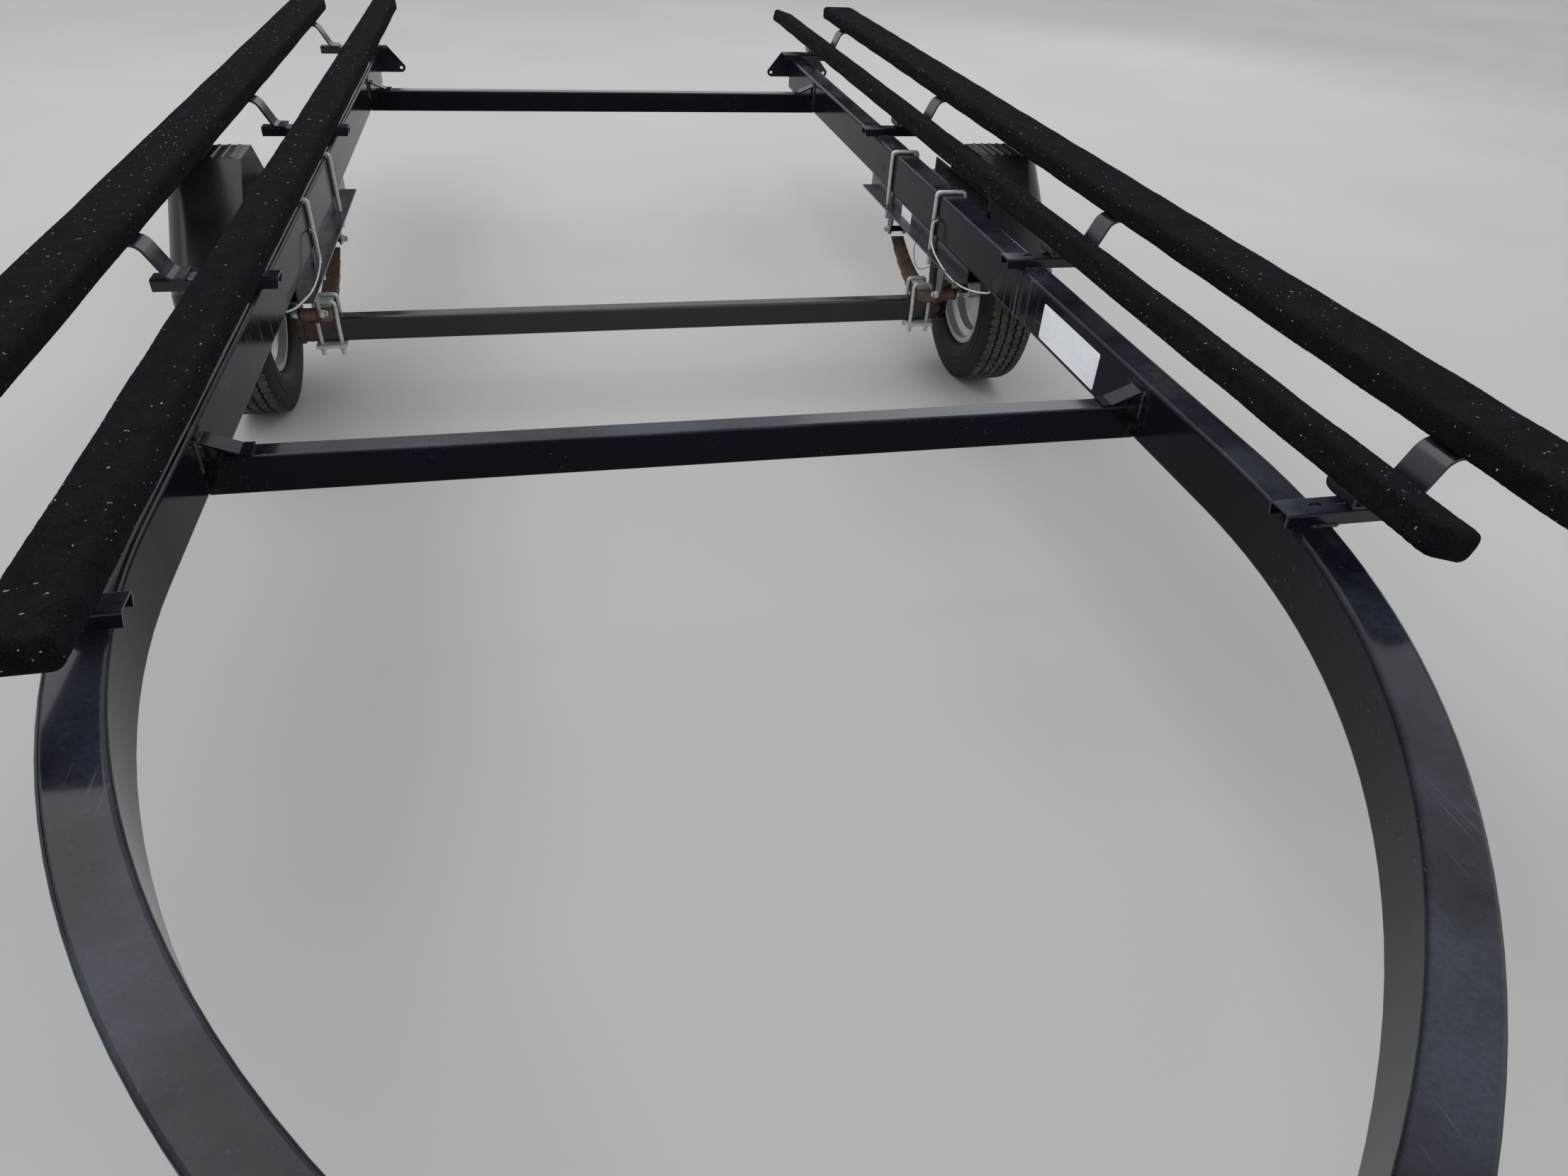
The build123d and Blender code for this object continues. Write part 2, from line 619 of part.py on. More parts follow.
def bunk_shift(kind, side):
    """How far a side's bunk is set outwards from the right one's place."""
    return BUNK_SEATS[kind, side]["x"] - BUNK_SEATS[kind, "right"]["x"]


def bunk(kind, side):
    """A long board with rounded edges and round ends, tilted about its inner bottom corner."""
    size = BUNKS[kind]
    seat = BUNK_SEATS[kind, side]
    angle = math.radians(seat["tilt"])
    plane = Plane(
        origin=(seat["x"], AXLE_Y + size["rear"], RAIL_TOP + seat["rise"]),
        x_dir=(math.cos(angle), 0, math.sin(angle)),
        z_dir=(0, -1, 0),
    )
    board = Pos(size["w"] / 2, size["t"] / 2) * RectangleRounded(size["w"], size["t"], BUNK_EDGE_R)
    length = size["rear"] + seat["front"]
    ends = Plane(
        origin=(seat["x"], AXLE_Y + size["rear"], RAIL_TOP + seat["rise"]),
        x_dir=(math.cos(angle), 0, math.sin(angle)),
        z_dir=(-math.sin(angle), 0, math.cos(angle)),
    )
    plan = Pos(size["w"] / 2, -length / 2) * RectangleRounded(size["w"], length, BUNK_END_R)
    return extrude(plane * board, length) & extrude(ends * plan, size["t"])


def bunk_channel(y):
    """A channel with its open side down and round bends, seated across the rail, with slots in its top."""
    x = (RAIL_INNER_X - CHANNEL_IN, CHANNEL_OUT)
    outer = block(x, (y - CHANNEL_D / 2, y + CHANNEL_D / 2), (RAIL_TOP, CHANNEL_TOP))
    outer = fillet(outer.edges().filter_by(Axis.X).group_by(Axis.Z)[-1], CHANNEL_BEND)
    inside = (y - CHANNEL_D / 2 + CHANNEL_T, y + CHANNEL_D / 2 - CHANNEL_T)
    core = block((x[0] - 1, x[1] + 1), inside, (RAIL_TOP - 1, CHANNEL_TOP - CHANNEL_T))
    core = fillet(core.edges().filter_by(Axis.X).group_by(Axis.Z)[-1], CHANNEL_BEND - CHANNEL_T)
    body = outer - core
    slant = Polyline(
        (x[0], RAIL_TOP), (x[0] + CHANNEL_SLANT, RAIL_TOP), (x[0], CHANNEL_TOP - CHANNEL_BEND), close=True
    )
    across = Plane(origin=(0, y + CHANNEL_D, 0), x_dir=(1, 0, 0), z_dir=(0, -1, 0))
    body -= extrude(across * make_face(slant), 2 * CHANNEL_D)
    for shift in SLOT_SHIFTS:
        slot = Plane(origin=(RAIL_X + shift, y, CHANNEL_TOP - CHANNEL_T - 1)) * SlotOverall(SLOT_L, 2 * SLOT_R)
        body -= extrude(slot, CHANNEL_T + 2)
    return body


def strap(y, side):
    """A flat bar curved up from the channel's outer end to the underside of the outer bunk."""
    low = CHANNEL_TOP + STRAP_T / 2
    shift = bunk_shift("outer", side)
    knee = STRAP_KNEE + shift
    tip = BUNK_SEATS["outer", side]["x"] + BUNKS["outer"]["w"] - STRAP_TIP_IN
    under = bunk_under("outer", side)
    points = [
        (STRAP_FOOT[0] + shift, low),
        (STRAP_FOOT[1] + shift, low),
        (knee, bunk_line("outer", side, knee) - under),
        (tip, bunk_line("outer", side, tip) - under),
    ]
    return bent_bar(points, STRAP_T, STRAP_W, y, STRAP_BENDS)


def upright(y, side):
    """A formed bracket: a foot on the channel, a wall that flares rearwards, and a shelf under the inner bunk."""
    low = CHANNEL_TOP + STRAP_T / 2
    under = bunk_under("inner", side)
    wall = UPRIGHT_X + bunk_shift("inner", side)
    tip = wall + UPRIGHT_REACH
    knee_z = bunk_line("inner", side, wall) - under
    points = [(tip, low), (wall, low), (wall, knee_z), (tip, bunk_line("inner", side, tip) - under)]
    depth = UPRIGHT_REAR + UPRIGHT_FRONT
    middle = y + (UPRIGHT_REAR - UPRIGHT_FRONT) / 2
    formed = bent_bar(points, STRAP_T, depth, middle, STRAP_T)
    top = knee_z + 2 * STRAP_T
    outline = make_face(Polyline(
        (y - UPRIGHT_FRONT, CHANNEL_TOP),
        (y + UPRIGHT_FOOT_REAR, CHANNEL_TOP),
        (y + UPRIGHT_REAR, CHANNEL_TOP + UPRIGHT_FLARE_UP),
        (y + UPRIGHT_REAR, top),
        (y - UPRIGHT_FRONT, top),
        close=True,
    ))
    flare = outline.vertices().filter_by(lambda v: v.X > y + UPRIGHT_REAR - 1).sort_by(Axis.Y)[0]
    outline = fillet(flare, UPRIGHT_FLARE_R)
    back = wall - 3 * STRAP_T
    side_view = Plane(origin=(back, 0, 0), x_dir=(0, 1, 0), z_dir=(1, 0, 0))
    plan = Pos((back + tip) / 2, middle, CHANNEL_TOP) * RectangleRounded(tip - back, depth, UPRIGHT_CORNER)
    return formed & extrude(side_view * outline, tip - back) & extrude(plan, top - CHANNEL_TOP)


def rear_bracket():
    """A channel like the others with an eared plate across the rail's rear end."""
    y = AXLE_Y + REAR_BRACKET_PLACE
    body = bunk_channel(y)
    face = AXLE_Y + RAIL_REAR
    low = RAIL_TOP - REAR_EAR_DROP
    top_half = RAIL_X - (RAIL_INNER_X - CHANNEL_IN)
    outline = make_face(Polyline(
        (RAIL_X - top_half, CHANNEL_TOP),
        (RAIL_X - REAR_EAR_REACH, low + REAR_EAR_SIDE),
        (RAIL_X - REAR_EAR_REACH, low),
        (RAIL_X + REAR_EAR_REACH, low),
        (RAIL_X + REAR_EAR_REACH, low + REAR_EAR_SIDE),
        (RAIL_X + top_half, CHANNEL_TOP),
        close=True,
    ))
    outline = fillet(outline.vertices().group_by(Axis.Y)[0], REAR_EAR_CORNER)
    plane = Plane(origin=(0, face + REAR_EAR_T, 0), x_dir=(1, 0, 0), z_dir=(0, -1, 0))
    plate = extrude(plane * outline, REAR_EAR_T)
    hole_z = low + REAR_EAR_HOLE_UP
    for side in (-1, 1):
        hole_x = RAIL_X + side * (REAR_EAR_REACH - REAR_EAR_HOLE_IN)
        plate -= rod((hole_x, face - 1, hole_z), (hole_x, face + REAR_EAR_T + 1, hole_z), REAR_EAR_HOLE_R)
    flange = block(
        (RAIL_X - top_half, RAIL_X + top_half), (y, face + REAR_EAR_T), (CHANNEL_TOP - CHANNEL_T, CHANNEL_TOP)
    )
    for shift in SLOT_SHIFTS:
        slot = Plane(origin=(RAIL_X + shift, y, CHANNEL_TOP - CHANNEL_T - 1)) * SlotOverall(SLOT_L, 2 * SLOT_R)
        flange -= extrude(slot, CHANNEL_T + 2)
    return body + plate + flange


def fender_outline(inset):
    """The fender's side view, a flat top with sloping ends, drawn a distance inside its skin."""
    flat = FENDER_FLAT / 2 - inset * math.tan(math.radians(22.5))
    top = RAIL_TOP + FENDER_TOP - inset
    low = RAIL_TOP + FENDER_TOP - FENDER_SLOPE
    reach = FENDER_FLAT / 2 + FENDER_SLOPE - inset * math.sqrt(2) + (0 if inset == 0 else inset * 0.42)
    floor = low - FENDER_SKIRT
    run = FENDER_SKIRT_RUN
    right = [(flat, top), (reach, low), (reach + run, floor)]
    left = [(-y, z) for y, z in reversed(right)]
    return right, left


def fender():
    """A thin shell: flat ribbed top, sloping ends, and side walls cut back to a band over the wheel."""
    def prism(inset, x0, x1, deeper):
        right, left = fender_outline(inset)
        points = right + [(right[-1][0], right[-1][1] - deeper), (left[0][0], left[0][1] - deeper)] + left
        unique = [p for i, p in enumerate(points) if i == 0 or p != points[i - 1]]
        plane = Plane(origin=(x0, AXLE_Y, 0), x_dir=(0, 1, 0), z_dir=(1, 0, 0))
        return extrude(plane * make_face(Polyline(*unique, close=True)), x1 - x0)

    x0 = FENDER_IN
    x1 = FENDER_IN + FENDER_W
    skin = prism(0, x0, x1, 0)
    outer_edges = [
        e for e in skin.edges()
        if abs(e.center().X - x1) < 0.1 and e.center().Z > RAIL_TOP + FENDER_TOP - FENDER_SLOPE - FENDER_SKIRT + 1
    ]
    skin = fillet(outer_edges, FENDER_OUT_R)
    cavity = prism(FENDER_T, x0 + FENDER_T, x1 - FENDER_T, 10)
    cavity_edges = [
        e for e in cavity.edges()
        if abs(e.center().X - (x1 - FENDER_T)) < 0.1
        and e.center().Z > RAIL_TOP + FENDER_TOP - FENDER_SLOPE - FENDER_SKIRT + 1
    ]
    cavity = fillet(cavity_edges, FENDER_OUT_R - FENDER_T)
    opening = prism(FENDER_BAND, x0 - 5, x1 + 5, 10)
    body = skin - cavity - opening
    pitch = (FENDER_W - FENDER_OUT_R - RIB_START) / RIB_COUNT
    top = RAIL_TOP + FENDER_TOP
    for row in range(RIB_COUNT):
        x = x0 + RIB_START + (row + 0.5) * pitch
        rib = block(
            (x - RIB_W / 2, x + RIB_W / 2),
            (AXLE_Y - FENDER_FLAT / 2 + RIB_MARGIN, AXLE_Y + FENDER_FLAT / 2 - RIB_MARGIN),
            (top - 1, top + RIB_H),
        )
        body += chamfer(rib.edges().group_by(Axis.Z)[-1], RIB_H * 0.6)
    return body


def fender_bracket():
    """A shelf welded to the rail, with a lip bolted to the fender's inner wall."""
    y = (AXLE_Y - BRACKET_SHELF_FRONT, AXLE_Y + BRACKET_SHELF_REAR)
    top = RAIL_TOP - BRACKET_SHELF_DROP
    x = (RAIL_OUTER_X, FENDER_IN - 0.2)
    shelf = block(x, y, (top - BRACKET_SHELF_T, top))
    lip = block((x[1] - BRACKET_SHELF_T, x[1]), y, (top - BRACKET_SHELF_T, top + BRACKET_LIP))
    clamp_y = AXLE_Y + FRAME_UBOLT_PLACES[0]
    notch = block(
        (RAIL_OUTER_X - 1, RAIL_OUTER_X + NOTCH_W), (clamp_y - NOTCH_W / 2, clamp_y + NOTCH_W / 2),
        (top - BRACKET_SHELF_T - 1, top + 1),
    )
    return shelf + lip - notch


def wire_path(name):
    """A wire's route as straight runs joined by arcs as large as the runs leave room for."""
    points = [Vector(x, AXLE_Y + y, RAIL_TOP + z) for x, y, z in WIRE_ROUTES[name]]
    runs = [b - a for a, b in zip(points, points[1:])]
    bends = []
    for a, b in zip(runs, runs[1:]):
        half_turn = math.radians(a.get_angle(b)) / 2
        bends.append(0.45 * min(a.length, b.length) / math.tan(half_turn))
    return FilletPolyline(*points, radius=bends), bends


def wire(name, radius):
    """A round wire along its route, with its bend radii and its length printed."""
    path, bends = wire_path(name)
    solid = sweep(Plane(origin=path @ 0, z_dir=path % 0) * Circle(radius), path=path)
    share = solid.volume / (math.pi * radius**2 * path.length)
    print(f"wire {name}: {path.length:.0f} mm, volume share {share:.4f}, radii", [round(r, 1) for r in bends])
    return solid


def grommets(side, routes):
    """The two rubber plugs in the rail where the lighting wires leave and enter it."""
    place = GROMMET_PLACES[side]
    y = AXLE_Y + place["y"]
    under_y = AXLE_Y + place["under_y"]
    rim = GROMMET_GAP + GROMMET_RIM_T
    profile = [
        (rim, 0), (rim, GROMMET_RIM_R), (GROMMET_GAP, GROMMET_RIM_R),
        (GROMMET_GAP, GROMMET_NECK_R), (-RAIL_WALL, GROMMET_NECK_R), (-RAIL_WALL, 0),
    ]
    plugs = [
        turned(profile, (RAIL_INNER_X, y, RAIL_TOP + place["z"]), (-1, 0, 0)),
        turned(profile, (place["under_x"], under_y, RAIL_BOTTOM), (0, 0, -1)),
    ]
    for name, radius in routes.items():
        path, bends = wire_path(name)
        hole = sweep(Plane(origin=path @ 0, z_dir=path % 0) * Circle(radius + WIRE_FIT), path=path)
        plugs = [plug - hole for plug in plugs]
    return plugs


def tail_lamp():
    y = AXLE_Y + CROSS_REAR + CROSS_D / 2
    x = RAIL_INNER_X - LAMP_IN
    z = RAIL_BOTTOM + CROSS_H / 2
    lamp = block((x - LAMP_W, x), (y, y + LAMP_T), (z - LAMP_H / 2, z + LAMP_H / 2))
    return fillet(lamp.edges().group_by(Axis.Y)[-1], 6)


def tyre():
    """A tyre turned about the hub: rounded shoulders, bulging walls and beads at the rim."""
    w = TYRE_WIDTH / 2
    r = TYRE_DIA / 2
    tread = TREAD_WIDTH / 2
    seat = RIM_WIDTH / 2 - RIM_PLATE - WHEEL_SEAT_GAP
    bead = TYRE_BEAD_R + WHEEL_SEAT_GAP
    mid = (r + bead) / 2
    right = [(tread, r - 4), (w - 6, r - 26), (w, mid + 14), (w - 2, mid - 22), (seat, RIM_FLANGE_R + 4), (seat, bead)]
    left = [(-a, b) for a, b in reversed(right)]
    points = [(0, r)] + right + left
    return turned(points, (WHEEL_X, AXLE_Y, HUB_Z), (1, 0, 0))


def rim():
    """A pressed steel wheel: flanged barrel with a drop centre, and a dished disc with lug holes."""
    half = RIM_WIDTH / 2
    bead = TYRE_BEAD_R
    t = RIM_PLATE
    outer = [
        (-half, RIM_FLANGE_R), (-half + t, RIM_FLANGE_R), (-half + t, bead), (-half + 24, bead - 3),
        (-half + 34, RIM_DROP_R + t), (half - 52, RIM_DROP_R + t), (half - 34, bead - 3),
        (half - t, bead), (half - t, RIM_FLANGE_R), (half, RIM_FLANGE_R),
    ]
    inner = [
        (half, bead - t), (half - 33, bead - 3 - t), (half - 51, RIM_DROP_R), (-half + 33, RIM_DROP_R),
        (-half + 23, bead - 3 - t), (-half, bead - t),
    ]
    centre = (WHEEL_X, AXLE_Y, HUB_Z)
    barrel = turned(outer + inner, centre, (1, 0, 0))
    face = HUB_FLANGE_T + 0.2
    disc_points = [
        (face, HUB_R + 1), (face, DISC_BOWL_R), (face + DISC_STEP, DISC_RING_R), (2, RIM_DROP_R + 0.5),
        (2 + DISC_FACE, RIM_DROP_R + 0.5), (face + DISC_STEP + DISC_FACE, DISC_RING_R + 2),
        (face + DISC_FACE + 1, DISC_BOWL_R + 2), (face + DISC_FACE, HUB_R + 1),
    ]
    disc = turned(disc_points, centre, (1, 0, 0))
    body = barrel + disc
    for n in range(LUG_COUNT):
        angle = 2 * math.pi * n / LUG_COUNT
        y = AXLE_Y + LUG_CIRCLE_R * math.sin(angle)
        z = HUB_Z + LUG_CIRCLE_R * math.cos(angle)
        body -= rod((WHEEL_X, y, z), (WHEEL_X + 60, y, z), LUG_HOLE_R)
    return body


def hub():
    """A hub turned about the spindle: barrel, flange, closed cap and studs."""
    bore = SPINDLE_R + SPINDLE_CLEARANCE
    tip = HUB_FLANGE_T + 6
    points = [
        (-HUB_IN, bore), (-HUB_IN, HUB_R), (0, HUB_R), (0, HUB_FLANGE_R), (HUB_FLANGE_T, HUB_FLANGE_R),
        (HUB_FLANGE_T, HUB_R - 1), (HUB_FLANGE_T + 18, CAP_R), (HUB_FLANGE_T + CAP_LEN, CAP_R - 4),
        (HUB_FLANGE_T + CAP_LEN, 0), (tip, 0), (tip, bore),
    ]
    body = turned(points, (WHEEL_X, AXLE_Y, HUB_Z), (1, 0, 0))
    for n in range(LUG_COUNT):
        angle = 2 * math.pi * n / LUG_COUNT
        y = AXLE_Y + LUG_CIRCLE_R * math.sin(angle)
        z = HUB_Z + LUG_CIRCLE_R * math.cos(angle)
        body += rod((WHEEL_X + 2, y, z), (WHEEL_X + HUB_FLANGE_T + STUD_LEN, y, z), STUD_R)
    return body


def coupler():
    """A pressed ball coupler that caps the tongue: folded channel, ball dome and latch lever."""
    y_tongue = AXLE_Y - TONGUE_FRONT
    ball_y = y_tongue - COUPLER_NECK
    half = TONGUE_W / 2 + 0.2
    top = TONGUE_TOP + 0.2
    wrap = block(
        (-half - COUPLER_T, half + COUPLER_T), (y_tongue - 30, y_tongue + COUPLER_LAP), (TONGUE_Z, top + COUPLER_T)
    )
    wrap -= block((-half, half), (y_tongue - 31, y_tongue + COUPLER_LAP + 1), (TONGUE_Z - 1, top))
    ball_z = TONGUE_Z + SOCKET_DROP / 2
    dome = Pos(0, ball_y, ball_z) * Sphere(DOME_R)
    skirt = rod((0, ball_y, ball_z - SOCKET_SKIRT), (0, ball_y, ball_z), DOME_R)
    neck_plane = Plane(origin=(0, y_tongue - 30, 0), x_dir=(1, 0, 0), z_dir=(0, -1, 0))
    start = neck_plane * Pos(0, TONGUE_Z + 28) * Rectangle(2 * (half + COUPLER_T), 2 * (top + COUPLER_T - TONGUE_Z - 28))
    end = neck_plane.offset(COUPLER_NECK - 30) * Pos(0, ball_z) * Rectangle(1.5 * DOME_R, 1.3 * DOME_R)
    neck = loft([start, end])
    body = wrap + neck + dome + skirt
    body -= Pos(0, ball_y, ball_z) * Sphere(BALL_R + BALL_CLEARANCE)
    body -= rod((0, ball_y, ball_z - 60), (0, ball_y, ball_z), BALL_R + BALL_CLEARANCE)
    latch = block((-LATCH_W / 2, LATCH_W / 2), (ball_y + 10, ball_y + 10 + LATCH_L), (top + COUPLER_T, top + COUPLER_T + LATCH_H))
    post = block((-LATCH_W / 2, LATCH_W / 2), (ball_y + 10, ball_y + 40), (ball_z, top + COUPLER_T + 1))
    post -= Pos(0, ball_y, ball_z) * Sphere(BALL_R + BALL_CLEARANCE)
    return body + fillet(latch.edges().filter_by(Axis.X), 5) + post


def jack_bracket():
    """A plate bolted to the side of the tongue, with a round boss that the jack turns on."""
    x0 = TONGUE_W / 2
    plate = block(
        (x0, x0 + JACK_PLATE_T), (JACK_Y - JACK_PLATE_L / 2, JACK_Y + JACK_PLATE_L / 2),
        (TONGUE_Z - TONGUE_H / 2, TONGUE_Z + TONGUE_H / 2),
    )
    plate = fillet(plate.edges().filter_by(Axis.X), 14)
    boss = rod((x0, JACK_Y, TONGUE_Z), (JACK_PAD_X - PIVOT_GAP, JACK_Y, TONGUE_Z), JACK_BOSS_R)
    pin = rod((x0, JACK_Y, TONGUE_Z), (JACK_PAD_X + PIVOT_PIN_L, JACK_Y, TONGUE_Z), PIVOT_PIN_R)
    return plate + boss + pin


FORK_TOP = 2 * JACK_WHEEL_R + FORK_CLEARANCE + FORK_T
JACK_BODY_LOW = FORK_TOP + JACK_TRAVEL + FORK_CLEARANCE


def jack_body():
    """The jack's outer tube with its collar, crown and crank handle."""
    low = JACK_BODY_LOW
    top = low + JACK_BODY_L
    tube = rod((JACK_X, JACK_Y, low), (JACK_X, JACK_Y, top), JACK_TUBE_R)
    tube -= rod((JACK_X, JACK_Y, low - 1), (JACK_X, JACK_Y, top - 12), JACK_TUBE_R - JACK_WALL)
    guide = rod((JACK_X, JACK_Y, low), (JACK_X, JACK_Y, low + 22), JACK_TUBE_R - 1)
    guide -= rod((JACK_X, JACK_Y, low - 1), (JACK_X, JACK_Y, low + 23), JACK_INNER_R + JACK_RUNNING_GAP)
    collar = rod(
        (JACK_X, JACK_Y, TONGUE_Z - JACK_COLLAR_H / 2), (JACK_X, JACK_Y, TONGUE_Z + JACK_COLLAR_H / 2),
        JACK_TUBE_R + JACK_COLLAR_T,
    )
    collar -= rod((JACK_X, JACK_Y, low - 1), (JACK_X, JACK_Y, top), JACK_TUBE_R - 1)
    half = JACK_PAD_HALF
    pad = block(
        (JACK_PAD_X, JACK_X - JACK_TUBE_R + 1), (JACK_Y - half, JACK_Y + half), (TONGUE_Z - half, TONGUE_Z + half)
    )
    bore = rod(
        (JACK_PAD_X - 1, JACK_Y, TONGUE_Z), (JACK_PAD_X + PIVOT_PIN_L + 1, JACK_Y, TONGUE_Z),
        PIVOT_PIN_R + SPINDLE_CLEARANCE,
    )
    crown = turned([(0, 0), (0, JACK_TUBE_R + 4), (CROWN_H - 8, JACK_TUBE_R + 4), (CROWN_H, 16), (CROWN_H, 0)],
                   (JACK_X, JACK_Y, top), (0, 0, 1))
    arm_z = top + CROWN_H + 12
    spindle = rod((JACK_X, JACK_Y, top + CROWN_H - 1), (JACK_X, JACK_Y, arm_z + 8), 9)
    arm = block((JACK_X - 12, JACK_X + HANDLE_ARM), (JACK_Y - 11, JACK_Y + 11), (arm_z - 3, arm_z + 3))
    pin = rod((JACK_X + HANDLE_ARM - 12, JACK_Y, arm_z), (JACK_X + HANDLE_ARM - 12, JACK_Y, arm_z + HANDLE_GRIP_L), HANDLE_R)
    grip = rod(
        (JACK_X + HANDLE_ARM - 12, JACK_Y, arm_z + 6), (JACK_X + HANDLE_ARM - 12, JACK_Y, arm_z + HANDLE_GRIP_L),
        HANDLE_GRIP_R,
    )
    return tube + guide + collar + pad + crown + spindle + arm + pin + grip - bore


def jack_leg():
    """The inner tube that slides down, with a sleeve end for the caster."""
    low = FORK_TOP + 1
    top = JACK_BODY_LOW + JACK_OVERLAP
    tube = rod((JACK_X, JACK_Y, low), (JACK_X, JACK_Y, top), JACK_INNER_R)
    tube -= rod((JACK_X, JACK_Y, low + LEG_PLUG), (JACK_X, JACK_Y, top + 1), JACK_INNER_R - JACK_WALL)
    bore = rod((JACK_X, JACK_Y, low - 1), (JACK_X, JACK_Y, low + KINGPIN_L + 1), KINGPIN_R + SPINDLE_CLEARANCE)
    return tube - bore


def jack_fork():
    """The caster fork: a top plate under the leg and two legs beside the wheel."""
    side = JACK_WHEEL_W / 2 + FORK_GAP
    plate = block(
        (JACK_X - side - FORK_T, JACK_X + side + FORK_T), (JACK_Y - FORK_SLEEVE_R, JACK_Y + FORK_SLEEVE_R + JACK_TRAIL),
        (FORK_TOP - FORK_T, FORK_TOP),
    )
    body = plate
    for way in (-1, 1):
        x = sorted((JACK_X + way * side, JACK_X + way * (side + FORK_T)))
        plane = Plane(origin=(x[0], JACK_Y, 0), x_dir=(0, 1, 0), z_dir=(1, 0, 0))
        outline = Polyline(
            (-FORK_SLEEVE_R, FORK_TOP), (-FORK_SLEEVE_R, FORK_TOP - 30), (JACK_TRAIL - 16, JACK_WHEEL_R - 4),
            (JACK_TRAIL - 8, JACK_WHEEL_R - 16), (JACK_TRAIL + 8, JACK_WHEEL_R - 16), (JACK_TRAIL + 16, JACK_WHEEL_R - 4),
            (FORK_SLEEVE_R + JACK_TRAIL, FORK_TOP - 30), (FORK_SLEEVE_R + JACK_TRAIL, FORK_TOP), close=True,
        )
        body += extrude(plane * make_face(outline), FORK_T)
    body += rod((JACK_X, JACK_Y, FORK_TOP - FORK_T), (JACK_X, JACK_Y, FORK_TOP + KINGPIN_L), KINGPIN_R)
    y = JACK_Y + JACK_TRAIL
    body += rod((JACK_X - side - FORK_T - 6, y, JACK_WHEEL_R), (JACK_X + side + FORK_T + 6, y, JACK_WHEEL_R), JACK_AXLE_R)
    return body


def jack_wheel():
    """A moulded wheel with a crowned tread, a sunk web and a bored boss."""
    w = JACK_WHEEL_W / 2
    r = JACK_WHEEL_R
    bore = JACK_AXLE_R + SPINDLE_CLEARANCE
    right = [(w - 8, r), (w - 2, r - 6), (w - 2, r - 20), (6, r - 24), (6, 22), (w, 18), (w, bore)]
    points = right + [(-a, b) for a, b in reversed(right)]
    return turned(points, (JACK_X, JACK_Y + JACK_TRAIL, JACK_WHEEL_R), (1, 0, 0))


def winch_post():
    """An upright tube on the tongue with a foot plate, a rearward arm and ears for the bow stop."""
    plane = Plane(origin=(0, POST_Y, TONGUE_TOP + POST_BASE_T))
    post = extrude(plane * hollow_bar(POST_W, POST_W, POST_WALL, 2 * POST_WALL), POST_H - POST_BASE_T)
    base = block((-TONGUE_W / 2, TONGUE_W / 2), (POST_Y - POST_BASE_L / 2, POST_Y + POST_BASE_L / 2), (TONGUE_TOP, TONGUE_TOP + POST_BASE_T))
    cap = block((-POST_W / 2, POST_W / 2), (POST_Y - POST_W / 2, POST_Y + POST_W / 2), (POST_TOP - 4, POST_TOP))
    arm_z = POST_TOP - STOP_ARM_DROP
    arm_y = POST_Y + POST_W / 2
    arm = block((-STOP_ARM_W / 2, STOP_ARM_W / 2), (arm_y, arm_y + STOP_ARM_L - STOP_R - 8), (arm_z - STOP_ARM_W / 2, arm_z + STOP_ARM_W / 2))
    pin_y = arm_y + STOP_ARM_L
    body = post + base + cap + arm
    yoke = block((-STOP_HALF - 2 - STOP_EAR_T, STOP_HALF + 2 + STOP_EAR_T), (arm_y + STOP_ARM_L - STOP_R - 14, arm_y + STOP_ARM_L - STOP_R - 8), (arm_z - STOP_ARM_W / 2, arm_z + STOP_ARM_W / 2))
    body += yoke
    for side in (-1, 1):
        x = sorted((side * (STOP_HALF + 2), side * (STOP_HALF + 2 + STOP_EAR_T)))
        ear = block(x, (arm_y + STOP_ARM_L - STOP_R - 14, pin_y), (arm_z - STOP_ARM_W / 2, arm_z + STOP_ARM_W / 2))
        body += ear + rod((x[0], pin_y, arm_z), (x[1], pin_y, arm_z), STOP_ARM_W / 2)
    body += rod((-STOP_HALF - 14, pin_y, arm_z), (STOP_HALF + 14, pin_y, arm_z), STOP_PIN_R)
    return body


def bow_stop():
    """The rubber block with a V notch that stops the bow."""
    y = POST_Y + POST_W / 2 + STOP_ARM_L
    half = STOP_HALF
    outline = Polyline(
        (-half, y - STOP_R), (half, y - STOP_R), (half, y + STOP_R), (half - 12, y + STOP_R), (0, y - STOP_PIN_R + 22),
        (-half + 12, y + STOP_R), (-half, y + STOP_R), close=True,
    )
    low = POST_TOP - STOP_ARM_DROP - STOP_ARM_W / 2 - 8
    body = extrude(Plane.XY.offset(low) * make_face(outline), STOP_ARM_W + 16)
    z = POST_TOP - STOP_ARM_DROP
    return body - rod((-half - 1, y, z), (half + 1, y, z), STOP_PIN_R + 0.3)


GEAR_R = GEAR_MODULE * GEAR_TEETH / 2
PINION_R = GEAR_MODULE * PINION_TEETH / 2
WINCH_Y = POST_Y - POST_W / 2
DRUM_Y = WINCH_Y - WINCH_L / 2 - 8
DRUM_Z = POST_TOP - WINCH_H / 2 - 14
PINION_Y = DRUM_Y
PINION_Z = DRUM_Z + GEAR_R + PINION_R
GEAR_X = WINCH_HALF + 2 * WINCH_PLATE_T


